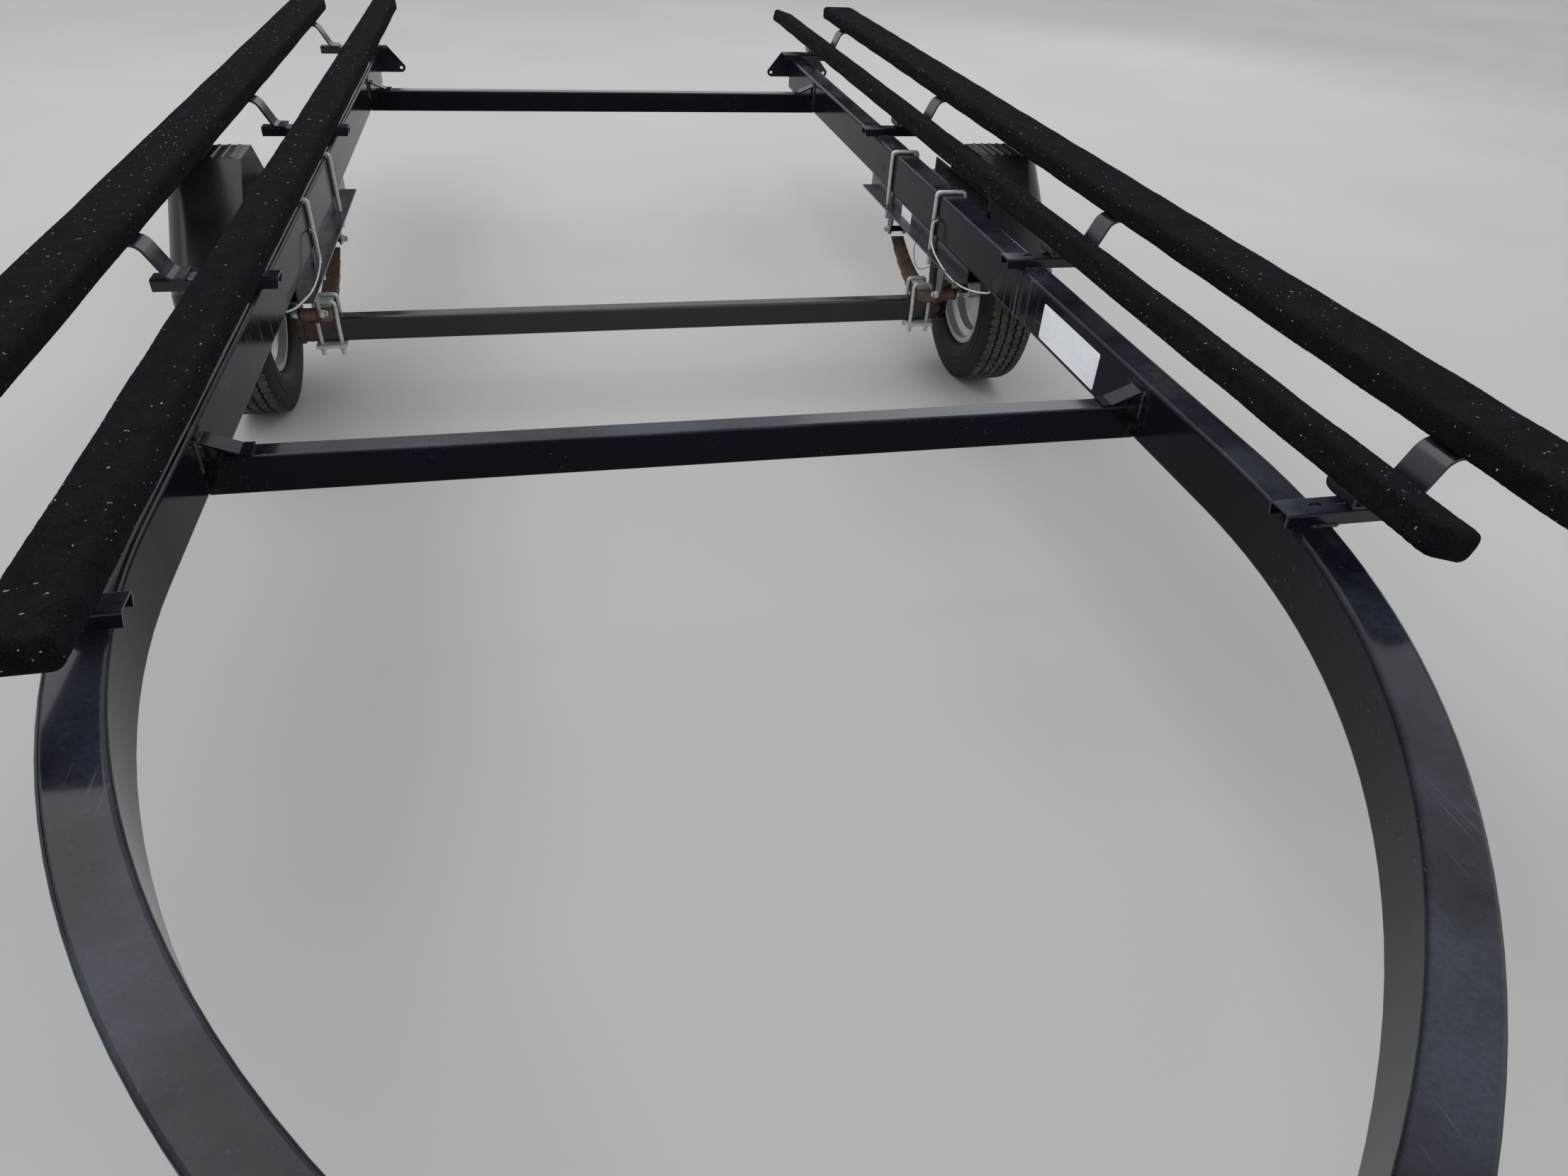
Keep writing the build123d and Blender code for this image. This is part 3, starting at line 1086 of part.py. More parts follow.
def gear(teeth, y, z, phase, bore):
    """A spur gear with straight-sided teeth, thinned for backlash."""
    radius = GEAR_MODULE * teeth / 2
    root = radius - 1.2 * GEAR_MODULE
    tip = radius + 0.95 * GEAR_MODULE
    plane = Plane(origin=(GEAR_X, y, z), x_dir=(0, 1, 0), z_dir=(1, 0, 0))
    half_pitch = GEAR_MODULE * math.pi / 4 - GEAR_BACKLASH / 2
    widths = [(root - 0.5, half_pitch * 1.45), (radius, half_pitch), (tip, half_pitch * 0.42)]
    sketch = Circle(root) - Circle(bore)
    right = [(r, w) for r, w in widths]
    left = [(r, -w) for r, w in reversed(widths)]
    tooth = make_face(Polyline(*(right + left), close=True))
    for n in range(teeth):
        sketch += Rot(0, 0, 360.0 * n / teeth + phase) * tooth
    return extrude(plane * sketch, GEAR_T)


def winch_frame():
    """Two side plates and a floor, bolted to the front of the post."""
    y = (WINCH_Y - WINCH_L - 8, WINCH_Y)
    z = (DRUM_Z - WINCH_H / 2, DRUM_Z + WINCH_H / 2 + 24)
    body = block((-WINCH_HALF - WINCH_PLATE_T, WINCH_HALF + WINCH_PLATE_T), (WINCH_Y - WINCH_PLATE_T, WINCH_Y), z)
    for side in (-1, 1):
        x = sorted((side * WINCH_HALF, side * (WINCH_HALF + WINCH_PLATE_T)))
        plane = Plane(origin=(x[0], 0, 0), x_dir=(0, 1, 0), z_dir=(1, 0, 0))
        outline = Polyline(
            (y[1], z[0]), (y[1], z[1]), (PINION_Y + 22, z[1] + 16), (PINION_Y - 22, z[1] + 16), (y[0], z[0] + 50),
            (y[0], z[0]), close=True,
        )
        plate = extrude(plane * make_face(outline), WINCH_PLATE_T)
        plate -= rod((x[0] - 1, DRUM_Y, DRUM_Z), (x[1] + 1, DRUM_Y, DRUM_Z), SHAFT_R + 0.05)
        plate -= rod((x[0] - 1, PINION_Y, PINION_Z), (x[1] + 1, PINION_Y, PINION_Z), SHAFT_R + 0.05)
        body += plate
    return body


def winch_drum():
    """The drum with its wound strap, cheeks, shaft and large gear."""
    half = WINCH_HALF - 3
    points = [
        (-half, 0), (-half, DRUM_CHEEK_R), (-half + DRUM_CHEEK_T, DRUM_CHEEK_R), (-half + DRUM_CHEEK_T, DRUM_ROLL_R),
        (half - DRUM_CHEEK_T, DRUM_ROLL_R), (half - DRUM_CHEEK_T, DRUM_CHEEK_R), (half, DRUM_CHEEK_R), (half, 0),
    ]
    drum = turned(points, (0, DRUM_Y, DRUM_Z), (1, 0, 0))
    shaft = rod((-WINCH_HALF - WINCH_PLATE_T - 6, DRUM_Y, DRUM_Z), (GEAR_X + GEAR_T + 3, DRUM_Y, DRUM_Z), SHAFT_R)
    wheel = gear(GEAR_TEETH, DRUM_Y, DRUM_Z, 0, SHAFT_R - 1)
    return drum + shaft + wheel


def winch_crank():
    """The crank: pinion, shaft, arm and grip."""
    shaft_end = GEAR_X + GEAR_T + 12
    shaft = rod((-WINCH_HALF - WINCH_PLATE_T - 6, PINION_Y, PINION_Z), (shaft_end, PINION_Y, PINION_Z), SHAFT_R)
    pinion = gear(PINION_TEETH, PINION_Y, PINION_Z, 180.0 / PINION_TEETH, SHAFT_R - 1)
    arm = block(
        (shaft_end - 2, shaft_end - 2 + CRANK_ARM_T),
        (PINION_Y - CRANK_ARM_W / 2, PINION_Y + CRANK_ARM_W / 2),
        (PINION_Z - CRANK_ARM, PINION_Z + CRANK_ARM_W / 2),
    )
    end_z = PINION_Z - CRANK_ARM + CRANK_ARM_W / 2
    grip_x = shaft_end - 2 + CRANK_ARM_T
    grip = turned(
        [(0, 0), (0, CRANK_GRIP_R - 4), (12, CRANK_GRIP_R), (CRANK_GRIP_L - 12, CRANK_GRIP_R),
         (CRANK_GRIP_L, CRANK_GRIP_R - 5), (CRANK_GRIP_L, 0)],
        (grip_x, PINION_Y, end_z), (1, 0, 0),
    )
    return shaft + pinion + arm + grip


def build():
    os.makedirs("parts", exist_ok=True)
    pairs = {
        "fender": fender(),
        "tyre": tyre(),
        "rim": rim(),
        "hub": hub(),
        "hanger": hanger(),
    }
    for name, shape in pairs.items():
        save(f"{name}_right", shape)
        save(f"{name}_left", mirrored(shape))
    for kind in BUNKS:
        save(f"bunk_{kind}_right", bunk(kind, "right"))
        save(f"bunk_{kind}_left", mirrored(bunk(kind, "left")))
    carriers = {"bunk_uprights": upright, "bunk_straps": strap}
    places = [AXLE_Y + place for place in BRACKET_PLACES + [REAR_BRACKET_PLACE]]
    for name, shape in carriers.items():
        save(name, *[shape(y, "right") for y in places], *[mirrored(shape(y, "left")) for y in places])
    rail = side_rail()
    save("rail_right", rail_holes(rail, "right"))
    save("rail_left", mirrored(rail_holes(rail, "left")))
    save("wires", wire("right", WIRE_R), mirrored(wire("left", WIRE_R)))
    plugs = grommets("right", {"right": WIRE_R, "thin": THIN_WIRE_R})
    plugs += [mirrored(plug) for plug in grommets("left", {"left": WIRE_R})]
    save("grommets", *plugs, wire("thin", THIN_WIRE_R))
    leaves = leaf_spring()
    save("spring_right", *leaves)
    save("spring_left", *[mirrored(leaf) for leaf in leaves])
    save("crossmember_front", crossmember(AXLE_Y - CROSS_FRONT))
    save("crossmember_rear", crossmember(AXLE_Y + CROSS_REAR))
    save("tongue", tongue())
    save("tongue_cross", tongue_cross())
    save("axle_beam", axle_beam())
    plate, cap, clamps = spring_clamps()
    both_sides = {
        "tie_plates": [plate, cap],
        "spring_ubolts": clamps,
        "frame_ubolts": frame_ubolts(),
        "bunk_channels": [bunk_channel(AXLE_Y + place) for place in BRACKET_PLACES],
        "rear_brackets": [rear_bracket()],
        "fender_brackets": [fender_bracket()],
        "tail_lamps": [tail_lamp()],
    }
    for name, shapes in both_sides.items():
        save(name, *shapes, *[mirrored(shape) for shape in shapes])
    save("coupler", coupler())
    save("jack_bracket", jack_bracket())
    save("jack_body", jack_body())
    save("jack_leg", jack_leg())
    save("jack_fork", jack_fork())
    save("jack_wheel", jack_wheel())
    save("winch_post", winch_post())
    save("bow_stop", bow_stop())
    save("winch_frame", winch_frame())
    save("winch_drum", winch_drum())
    save("winch_crank", winch_crank())


build()
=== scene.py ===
import json
import math

import bpy
import numpy as np
from mathutils import Matrix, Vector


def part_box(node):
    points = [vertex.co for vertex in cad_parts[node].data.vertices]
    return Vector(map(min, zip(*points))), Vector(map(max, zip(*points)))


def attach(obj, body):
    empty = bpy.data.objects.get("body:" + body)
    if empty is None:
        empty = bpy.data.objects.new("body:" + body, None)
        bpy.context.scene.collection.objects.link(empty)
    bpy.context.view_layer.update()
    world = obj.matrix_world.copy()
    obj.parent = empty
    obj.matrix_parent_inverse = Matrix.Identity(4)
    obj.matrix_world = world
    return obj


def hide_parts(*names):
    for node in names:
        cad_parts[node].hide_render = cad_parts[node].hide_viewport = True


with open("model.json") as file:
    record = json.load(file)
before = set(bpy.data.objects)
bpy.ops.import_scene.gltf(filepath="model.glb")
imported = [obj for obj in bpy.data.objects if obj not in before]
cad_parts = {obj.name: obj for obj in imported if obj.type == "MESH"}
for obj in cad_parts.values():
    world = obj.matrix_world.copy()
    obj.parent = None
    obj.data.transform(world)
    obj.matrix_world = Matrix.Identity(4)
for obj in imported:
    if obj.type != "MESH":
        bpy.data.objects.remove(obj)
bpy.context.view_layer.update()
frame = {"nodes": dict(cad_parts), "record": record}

SIDES = {"right": 1.0, "left": -1.0}
QUARTERS = ((1, 1), (-1, 1), (-1, -1), (1, -1))


def corners(node):
    """The lowest and highest corners of a node, in metres, to a hundredth of a millimetre."""
    return [np.round(np.array(corner, dtype=float), 5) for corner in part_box(node)]


# Places that the trailer's own pieces give. The tyres stand on the ground, so their top is at twice
# their radius.
RAIL, TYRE = corners("rail_right"), corners("tyre_right")
CROSSMEMBERS = [corners(f"crossmember_{end}") for end in ("front", "rear")]
RAIL_LOW = RAIL[0][2]
RAIL_TOP = RAIL[1][2]
RAIL_OUTER_X = RAIL[1][0]
RAIL_INNER_X = CROSSMEMBERS[0][1][0]
WHEEL_X = (TYRE[0][0] + TYRE[1][0]) / 2
AXLE_Y = (TYRE[0][1] + TYRE[1][1]) / 2
HUB_Z = TYRE_R = TYRE[1][2] / 2
CROSS_PLACES = [(low[1] + high[1]) / 2 for low, high in CROSSMEMBERS]
TUBE_HALF = (CROSSMEMBERS[0][1][1] - CROSSMEMBERS[0][0][1]) / 2

# Along the rails: the middles of the bunk channels, and the stretch with rubbed paint
CHANNEL_PLACES = [AXLE_Y + at for at in (-2.000, -0.775, 0.575)]
CHAFE_PLACES = (AXLE_Y - 1.05, AXLE_Y - 0.62)


# Surfaces


def add_mesh(name, points, quads, tris=(), sharp=None):
    """Puts arrays of corners and faces into a smooth mesh object, hard at edges above the sharp angle."""
    mesh = bpy.data.meshes.new(name)
    points = np.asarray(points, dtype=np.float64).reshape(-1, 3)
    quads = np.asarray(quads, dtype=np.int64).reshape(-1, 4)
    tris = np.asarray(tris, dtype=np.int64).reshape(-1, 3)
    mesh.vertices.add(len(points))
    mesh.vertices.foreach_set("co", points.ravel())
    mesh.loops.add(quads.size + tris.size)
    mesh.loops.foreach_set("vertex_index", np.concatenate([quads.ravel(), tris.ravel()]))
    totals = np.concatenate([np.full(len(quads), 4), np.full(len(tris), 3)])
    mesh.polygons.add(len(totals))
    mesh.polygons.foreach_set("loop_start", np.concatenate([[0], np.cumsum(totals)[:-1]]))
    mesh.polygons.foreach_set("loop_total", totals)
    mesh.update(calc_edges=True)
    mesh.validate()
    mesh.polygons.foreach_set("use_smooth", np.full(len(mesh.polygons), True))
    if sharp is not None:
        mesh.set_sharp_from_angle(angle=math.radians(sharp))
    obj = bpy.data.objects.new(name, mesh)
    bpy.context.scene.collection.objects.link(obj)
    return obj


def grid_faces(rows, cols, wrap_rows=False, wrap_cols=False):
    """Quads between neighbouring rows and columns of a grid of points."""
    i = np.arange(rows if wrap_rows else rows - 1)
    j = np.arange(cols if wrap_cols else cols - 1)
    a, b = np.meshgrid(i, j, indexing="ij")
    c = (a + 1) % rows
    d = (b + 1) % cols
    return np.stack([a * cols + b, a * cols + d, c * cols + d, c * cols + b], axis=-1).reshape(-1, 4)


def closed_tube(rings, flip=False):
    """Faces of a stack of closed rings with a fan over each end, as points, quads and triangles. With flip
    they are wound the other way round."""
    rows, cols, _ = rings.shape
    points = np.concatenate([rings.reshape(-1, 3), rings[:1].mean(axis=1), rings[-1:].mean(axis=1)])
    quads = grid_faces(rows, cols, wrap_cols=True)
    k = np.arange(cols)
    n = (k + 1) % cols
    first = np.stack([n, k, np.full(cols, rows * cols)], axis=-1)
    last = np.stack([(rows - 1) * cols + k, (rows - 1) * cols + n, np.full(cols, rows * cols + 1)], axis=-1)
    tris = np.concatenate([first, last])
    if flip:
        return points, quads[:, ::-1], tris[:, ::-1]
    return points, quads, tris


def joined(parts):
    """Several (points, quads, tris) put together as one."""
    points, quads, tris, start = [], [], [], 0
    for p, q, t in parts:
        points.append(p)
        quads.append(q + start)
        tris.append(t + start)
        start += len(p)
    return np.concatenate(points), np.concatenate(quads), np.concatenate(tris)


def rounded_outlines(width, height, radius, steps):
    """Rounded rectangles about their middles, one for each entry of the three arrays: quarter circles
    joined by straight sides. Returns the points and, at each point, the direction outwards."""
    turn = np.linspace(0, math.pi / 2, steps)
    width, height, radius = (np.asarray(v, dtype=float).reshape(-1, 1) for v in (width, height, radius))
    points, outward = [], []
    for n, (sx, sy) in enumerate(QUARTERS):
        a = turn + n * math.pi / 2
        x = sx * (width / 2 - radius) + radius * np.cos(a)
        y = sy * (height / 2 - radius) + radius * np.sin(a)
        points.append(np.stack([x, y], axis=-1))
        outward.append(np.broadcast_to(np.stack([np.cos(a), np.sin(a)], axis=-1), x.shape + (2,)))
    return np.concatenate(points, axis=1), np.concatenate(outward, axis=1)


# Node groups


class Shader:
    """A short hand for placing and joining nodes in one tree."""

    def __init__(self, tree):
        self.tree = tree
        self.count = 0

    def node(self, kind, inputs=None, **settings):
        item = self.tree.nodes.new(kind)
        self.count += 1
        item.location = (self.count * 180, 0)
        for key, value in settings.items():
            setattr(item, key, value)
        for key, value in (inputs or {}).items():
            self.feed(item.inputs[key], value)
        return item

    def feed(self, socket, value):
        if isinstance(value, bpy.types.NodeSocket):
            self.tree.links.new(value, socket)
        else:
            socket.default_value = value

    def place(self):
        return self.node("ShaderNodeTexCoord").outputs["Object"]

    def axis(self, vector, letter):
        return self.node("ShaderNodeSeparateXYZ", {0: vector}).outputs[letter]

    def facing_up(self, low, high):
        normal = self.node("ShaderNodeNewGeometry").outputs["Normal"]
        return self.ramp(self.axis(normal, "Z"), low, high)

    def stretched(self, vector, scale, turn=(0.0, 0.0, 0.0)):
        inputs = {"Vector": vector, "Scale": scale, "Rotation": turn}
        return self.node("ShaderNodeMapping", inputs).outputs[0]

    def noise(self, vector, scale, detail, roughness=0.5):
        inputs = {"Vector": vector, "Scale": scale, "Detail": detail, "Roughness": roughness}
        return self.node("ShaderNodeTexNoise", inputs).outputs["Fac"]

    def cells(self, vector, scale):
        """Voronoi cells: the distance from each cell's core, and three random values of the cell."""
        item = self.node("ShaderNodeTexVoronoi", {"Vector": vector, "Scale": scale})
        picks = self.node("ShaderNodeSeparateColor", {0: item.outputs["Color"]}).outputs
        return item.outputs["Distance"], picks

    def math(self, how, a, b=0.0, clamp=False):
        return self.node("ShaderNodeMath", {0: a, 1: b}, operation=how, use_clamp=clamp).outputs[0]

    def times(self, a, b, clamp=False):
        return self.math("MULTIPLY", a, b, clamp)

    def plus(self, a, b):
        return self.math("ADD", a, b)

    def most(self, a, b):
        return self.math("MAXIMUM", a, b)

    def ramp(self, value, low, high, a=0.0, b=1.0):
        inputs = {"Value": value, "From Min": low, "From Max": high, "To Min": a, "To Max": b}
        return self.node("ShaderNodeMapRange", inputs).outputs[0]

    def mix(self, factor, a, b):
        """Colour a where the factor is 0 and b where it is 1, each as (red, green, blue) or a socket."""
        item = self.node("ShaderNodeMix", data_type="RGBA")
        for slot, value in ((0, factor), (6, a), (7, b)):
            self.feed(item.inputs[slot], (*value, 1) if isinstance(value, tuple) else value)
        return item.outputs[2]

    def use(self, kind, **values):
        item = self.node("ShaderNodeGroup", node_tree=GROUPS[kind])
        for label, value in values.items():
            self.feed(item.inputs[label], value)
        return item.outputs

    def bump(self, height, strength, distance):
        item = self.node("ShaderNodeBump", {"Height": height, "Strength": strength, "Distance": distance})
        return item.outputs["Normal"]


def group(name, build, outputs=("Mask",), **inputs):
    """A node group with named number sockets; build(shader, group_in) returns its output values."""
    tree = bpy.data.node_groups.new(name, "ShaderNodeTree")
    for label, value in inputs.items():
        socket = tree.interface.new_socket(label, in_out="INPUT", socket_type="NodeSocketFloat")
        socket.default_value = value
    for label in outputs:
        tree.interface.new_socket(label, in_out="OUTPUT", socket_type="NodeSocketFloat")
    shader = Shader(tree)
    entry = tree.nodes.new("NodeGroupInput")
    leave = tree.nodes.new("NodeGroupOutput")
    for label, value in build(shader, entry.outputs).items():
        shader.feed(leave.inputs[label], value)
    return tree


def dust_and_sheen_mask(s, given):
    """Cloudy film on faces that look up: dust, and on gloss paint and plastic also a painted sky sheen. Two
    sizes of noise, times how far the face looks up.
    """
    where = s.place()
    cloud = s.ramp(s.noise(where, given["Scale"], 5.0, 0.6), 0.38, 0.72)
    speck = s.ramp(s.noise(where, 160.0, 3.0, 0.7), 0.35, 0.75, 0.55, 1.0)
    up = s.plus(s.times(s.facing_up(0.2, 0.95), given["Top"]), given["All"])
    return {"Mask": s.times(s.times(cloud, speck), up, clamp=True)}


def scratch_mask(s, given):
    """Thin marks: noise stretched along Y, kept only where it peaks and inside a few patches."""
    where = s.place()
    lines = s.noise(s.stretched(where, (220.0, 6.0, 160.0), (0.2, 0.1, 0.3)), 1.0, 2.0)
    thin = s.ramp(lines, 0.66, 0.74)
    area = s.ramp(s.noise(where, 5.0, 2.0), 0.5, 0.65)
    return {"Mask": s.times(s.times(thin, area), given["Amount"], clamp=True)}


def blotch(s, given):
    """Irregular spots of one size range, with a soft or a hard rim."""
    spots = s.noise(s.place(), given["Scale"], 6.0, 0.65)
    return {"Mask": s.ramp(spots, given["Edge"], s.plus(given["Edge"], given["Softness"]))}


def grain(s, given):
    """Fine roughness of a surface, as a height."""
    return {"Height": s.noise(s.place(), given["Scale"], 4.0, 0.6)}


def pile(s, given):
    """Carpet: short fibres over a coarser nap. Pale lint is a small round or drawn-out core in cells chosen
    at random, once with square cells and once with cells stretched for short threads."""
    where = s.place()
    fibre = s.noise(where, 1100.0, 3.0, 0.8)
    nap = s.noise(where, 30.0, 5.0, 0.65)
    tuft = s.noise(where, 320.0, 2.0, 0.6)
    warp = s.node("ShaderNodeTexNoise", {"Vector": where, "Scale": 60.0, "Detail": 1.0}).outputs["Color"]
    moved = s.node("ShaderNodeMix", {0: 0.012, 4: where, 5: warp}, data_type="VECTOR").outputs[1]
    core, pick = s.cells(moved, 90.0)
    few = s.math("GREATER_THAN", pick[0], given["Bare"])
    dots = s.math("LESS_THAN", core, s.ramp(pick[1], 0.0, 1.0, 0.05, 0.14))
    thread_core, thread_pick = s.cells(s.stretched(moved, (36.0, 110.0, 110.0), (0.3, 0.2, 0.7)), 1.0)
    few_threads = s.math("GREATER_THAN", thread_pick[0], s.plus(s.times(given["Bare"], 0.4), 0.54))
    threads = s.math("LESS_THAN", thread_core, 0.12)
    lint = s.most(s.times(few, dots), s.times(few_threads, threads))
    return {
        "Height": s.plus(s.plus(fibre, s.times(nap, 0.7)), s.times(tuft, 1.1)),
        "Nap": nap,
        "Fibre": tuft,
        "Lint": s.times(lint, s.ramp(pick[2], 0.0, 1.0, 0.10, 1.0)),
    }


def weld_dust(s, given):
    """Rust coloured dirt around the welds: close along Y to a crossmember's end and close in X to the rail,
    broken up by noise."""
    where = s.place()
    along = s.axis(where, "Y")
    total = 0.0
    for place in CROSS_PLACES:
        off = s.math("ABSOLUTE", s.math("SUBTRACT", along, place))
        total = s.most(total, s.ramp(off, 0.027, 0.060, 1.0, 0.0))
    across = s.math("ABSOLUTE", s.axis(where, "X"))
    total = s.times(total, s.ramp(across, RAIL_INNER_X - 0.040, RAIL_INNER_X - 0.004))
    broken = s.ramp(s.noise(where, 55.0, 5.0, 0.7), 0.47, 0.68)
    return {"Mask": s.times(s.times(total, broken), given["Amount"])}


def chafe(s, given):
    """Long fine rubbed lines, close together, inside a soft band between two places along Y."""
    soft = 0.12
    where = s.place()
    along = s.axis(where, "Y")
    begins = s.ramp(along, given["From"], s.plus(given["From"], soft))
    ends = s.ramp(along, s.math("SUBTRACT", given["To"], soft), given["To"], 1.0, 0.0)
    lines = s.ramp(s.noise(s.stretched(where, (90.0, 150.0, 3.0)), 1.0, 3.0, 0.7), 0.54, 0.68)
    cloud = s.ramp(s.noise(where, 9.0, 2.0), 0.42, 0.62)
    return {"Mask": s.times(s.times(s.times(lines, cloud), s.times(begins, ends)), given["Amount"])}


GROUPS = {
    "dust_and_sheen": group("dust_and_sheen_film", dust_and_sheen_mask, Scale=6.0, Top=1.0, All=0.1),
    "scratch": group("thin_scratches", scratch_mask, Amount=0.5),
    "blotch": group("blotches", blotch, Scale=20.0, Edge=0.55, Softness=0.1),
    "grain": group("surface_grain", grain, ("Height",), Scale=400.0),
    "pile": group("carpet_pile", pile, ("Height", "Nap", "Fibre", "Lint"), Bare=0.8),
    "weld_dust": group("weld_dust", weld_dust, Amount=0.7),
    "chafe": group("chafe_lines", chafe, From=0.0, To=1.0, Amount=0.5),
}


# Materials


def material(name, build, **constants):
    """A material with one Principled BSDF; build(shader) returns what feeds its sockets."""
    mat = bpy.data.materials.new(name)
    mat.use_nodes = True
    mat.node_tree.nodes.clear()
    s = Shader(mat.node_tree)
    bsdf = s.node("ShaderNodeBsdfPrincipled")
    s.node("ShaderNodeOutputMaterial", {0: bsdf.outputs[0]})
    for label, value in constants.items():
        bsdf.inputs[label.replace("_", " ")].default_value = value
    for label, value in build(s).items():
        s.feed(bsdf.inputs[label], value)
    return mat


def rail_paint(s):
    """Black gloss. The top carries a blue-grey haze in long patches and dried drops, dust and in part a
    painted sky reflection; the sides stay clean, with fine rubbed lines in front of the axle and rusty dirt
    close to the welds."""
    dust_and_sheen = s.use("dust_and_sheen", Scale=3.2, Top=1.0, All=0.035)["Mask"]
    drops = s.use("blotch", Scale=75.0, Edge=0.60, Softness=0.06)["Mask"]
    top = s.facing_up(0.6, 0.95)
    haze_and_sheen = s.most(dust_and_sheen, s.times(s.times(drops, top), 0.35))
    marks = s.use("scratch", Amount=0.35)["Mask"]
    rubbed = s.use("chafe", From=CHAFE_PLACES[0], To=CHAFE_PLACES[1], Amount=0.8)["Mask"]
    worn = s.most(marks, rubbed)
    dirt = s.use("weld_dust", Amount=0.5)["Mask"]
    wave = s.plus(s.use("grain", Scale=9.0)["Height"], s.times(s.use("grain", Scale=31.0)["Height"], 0.35))
    # Blue-grey on faces that look up: dust, and partly painted sky reflection
    colour = s.mix(haze_and_sheen, (0.0045, 0.0054, 0.0085), (0.044, 0.052, 0.070))
    colour = s.mix(worn, colour, (0.15, 0.16, 0.17))
    colour = s.mix(dirt, colour, (0.085, 0.056, 0.036))
    roughness = s.plus(s.plus(s.times(haze_and_sheen, 0.40), 0.13), s.times(worn, 0.22))
    return {
        "Base Color": colour,
        "Roughness": s.most(roughness, s.times(dirt, 0.8)),
        "Coat Weight": s.times(top, 0.38),
        "Normal": s.bump(wave, 0.07, 0.004),
    }


def bracket_paint(s):
    """Gloss paint under a blue-grey film of dust and dried water, thickest on faces that look up, where it
    is in part a painted sky reflection; with thin scratches and specks of rust.
    """
    dust_and_sheen = s.use("dust_and_sheen", Scale=9.0, Top=0.9, All=0.04)["Mask"]
    marks = s.use("scratch", Amount=0.45)["Mask"]
    spots = s.use("blotch", Scale=26.0, Edge=0.65, Softness=0.05)["Mask"]
    # Blue-grey film: dust, and on faces that look up partly painted sky reflection
    colour = s.mix(dust_and_sheen, (0.0052, 0.0066, 0.0125), (0.040, 0.048, 0.068))
    colour = s.mix(marks, colour, (0.22, 0.22, 0.23))
    colour = s.mix(spots, colour, (0.09, 0.04, 0.02))
    roughness = s.most(s.plus(s.times(dust_and_sheen, 0.5), 0.20), s.times(spots, 0.8))
    return {
        "Base Color": colour,
        "Roughness": s.math("MINIMUM", s.plus(roughness, s.times(marks, 0.3)), 1.0),
        "Normal": s.bump(s.use("grain", Scale=14.0)["Height"], 0.06, 0.004),
    }


def carpet(s):
    """Near black, faintly blue marine carpet, lighter where the nap stands up and dotted with pale lint."""
    out = s.use("pile", Bare=0.78)
    colour = s.mix(s.ramp(out["Nap"], 0.35, 0.7), (0.0034, 0.0037, 0.0046), (0.0070, 0.0076, 0.0098))
    colour = s.mix(s.ramp(out["Fibre"], 0.5, 0.8), colour, (0.0150, 0.0160, 0.0195))
    colour = s.mix(out["Lint"], colour, (0.60, 0.58, 0.55))
    return {"Base Color": colour, "Normal": s.bump(out["Height"], 0.6, 0.0016)}


def weld_bead(s):
    """Painted over ripples of a weld, with rust and grit caught between them."""
    spots = s.use("blotch", Scale=95.0, Edge=0.47, Softness=0.12)["Mask"]
    return {
        "Base Color": s.mix(spots, (0.010, 0.011, 0.014), (0.072, 0.060, 0.050)),
        "Roughness": s.ramp(spots, 0.0, 1.0, 0.32, 0.85),
        "Normal": s.bump(s.use("grain", Scale=420.0)["Height"], 0.4, 0.0006),
    }


def rusty(s):
    """Scale rust: dark brown plates with orange powder between them."""
    plates = s.use("blotch", Scale=30.0, Edge=0.42, Softness=0.2)["Mask"]
    powder = s.use("blotch", Scale=130.0, Edge=0.5, Softness=0.2)["Mask"]
    colour = s.mix(plates, (0.034, 0.020, 0.014), (0.105, 0.052, 0.030))
    colour = s.mix(s.times(powder, 0.5), colour, (0.17, 0.088, 0.048))
    return {"Base Color": colour, "Normal": s.bump(s.use("grain", Scale=260.0)["Height"], 0.6, 0.0008)}


def beam_paint(s):
    """Black paint on the axle, rusty near its ends, under a grey film that is lighter on faces that look
    up: dust, and in part a painted highlight.
    """
    near_end = s.ramp(s.math("ABSOLUTE", s.axis(s.place(), "X")), 0.90, 1.0)
    spots = s.use("blotch", Scale=24.0, Edge=0.45, Softness=0.15)["Mask"]
    few = s.use("blotch", Scale=60.0, Edge=0.68, Softness=0.05)["Mask"]
    rust = s.most(s.times(near_end, spots), s.times(few, 0.6))
    dust_and_sheen = s.use("dust_and_sheen", Scale=7.0, Top=0.5, All=0.06)["Mask"]
    # Grey on faces that look up: dust, and partly painted highlight
    colour = s.mix(dust_and_sheen, (0.0060, 0.0066, 0.0090), (0.052, 0.054, 0.060))
    colour = s.mix(rust, colour, (0.11, 0.045, 0.02))
    return {
        "Base Color": colour,
        "Roughness": s.most(s.plus(s.times(dust_and_sheen, 0.4), 0.18), s.times(rust, 0.85)),
    }


def galvanised(s):
    """Dull zinc: pale grey with soft crystals and a brownish stain in places."""
    _, picks = s.cells(s.place(), 140.0)
    spangle = picks[0]
    stain = s.use("blotch", Scale=34.0, Edge=0.5, Softness=0.25)["Mask"]
    colour = s.mix(spangle, (0.46, 0.47, 0.46), (0.60, 0.61, 0.60))
    colour = s.mix(s.times(stain, 0.45), colour, (0.30, 0.29, 0.25))
    return {
        "Base Color": colour,
        "Roughness": s.ramp(spangle, 0.0, 1.0, 0.42, 0.58),
        "Normal": s.bump(s.use("grain", Scale=220.0)["Height"], 0.2, 0.0006),
    }


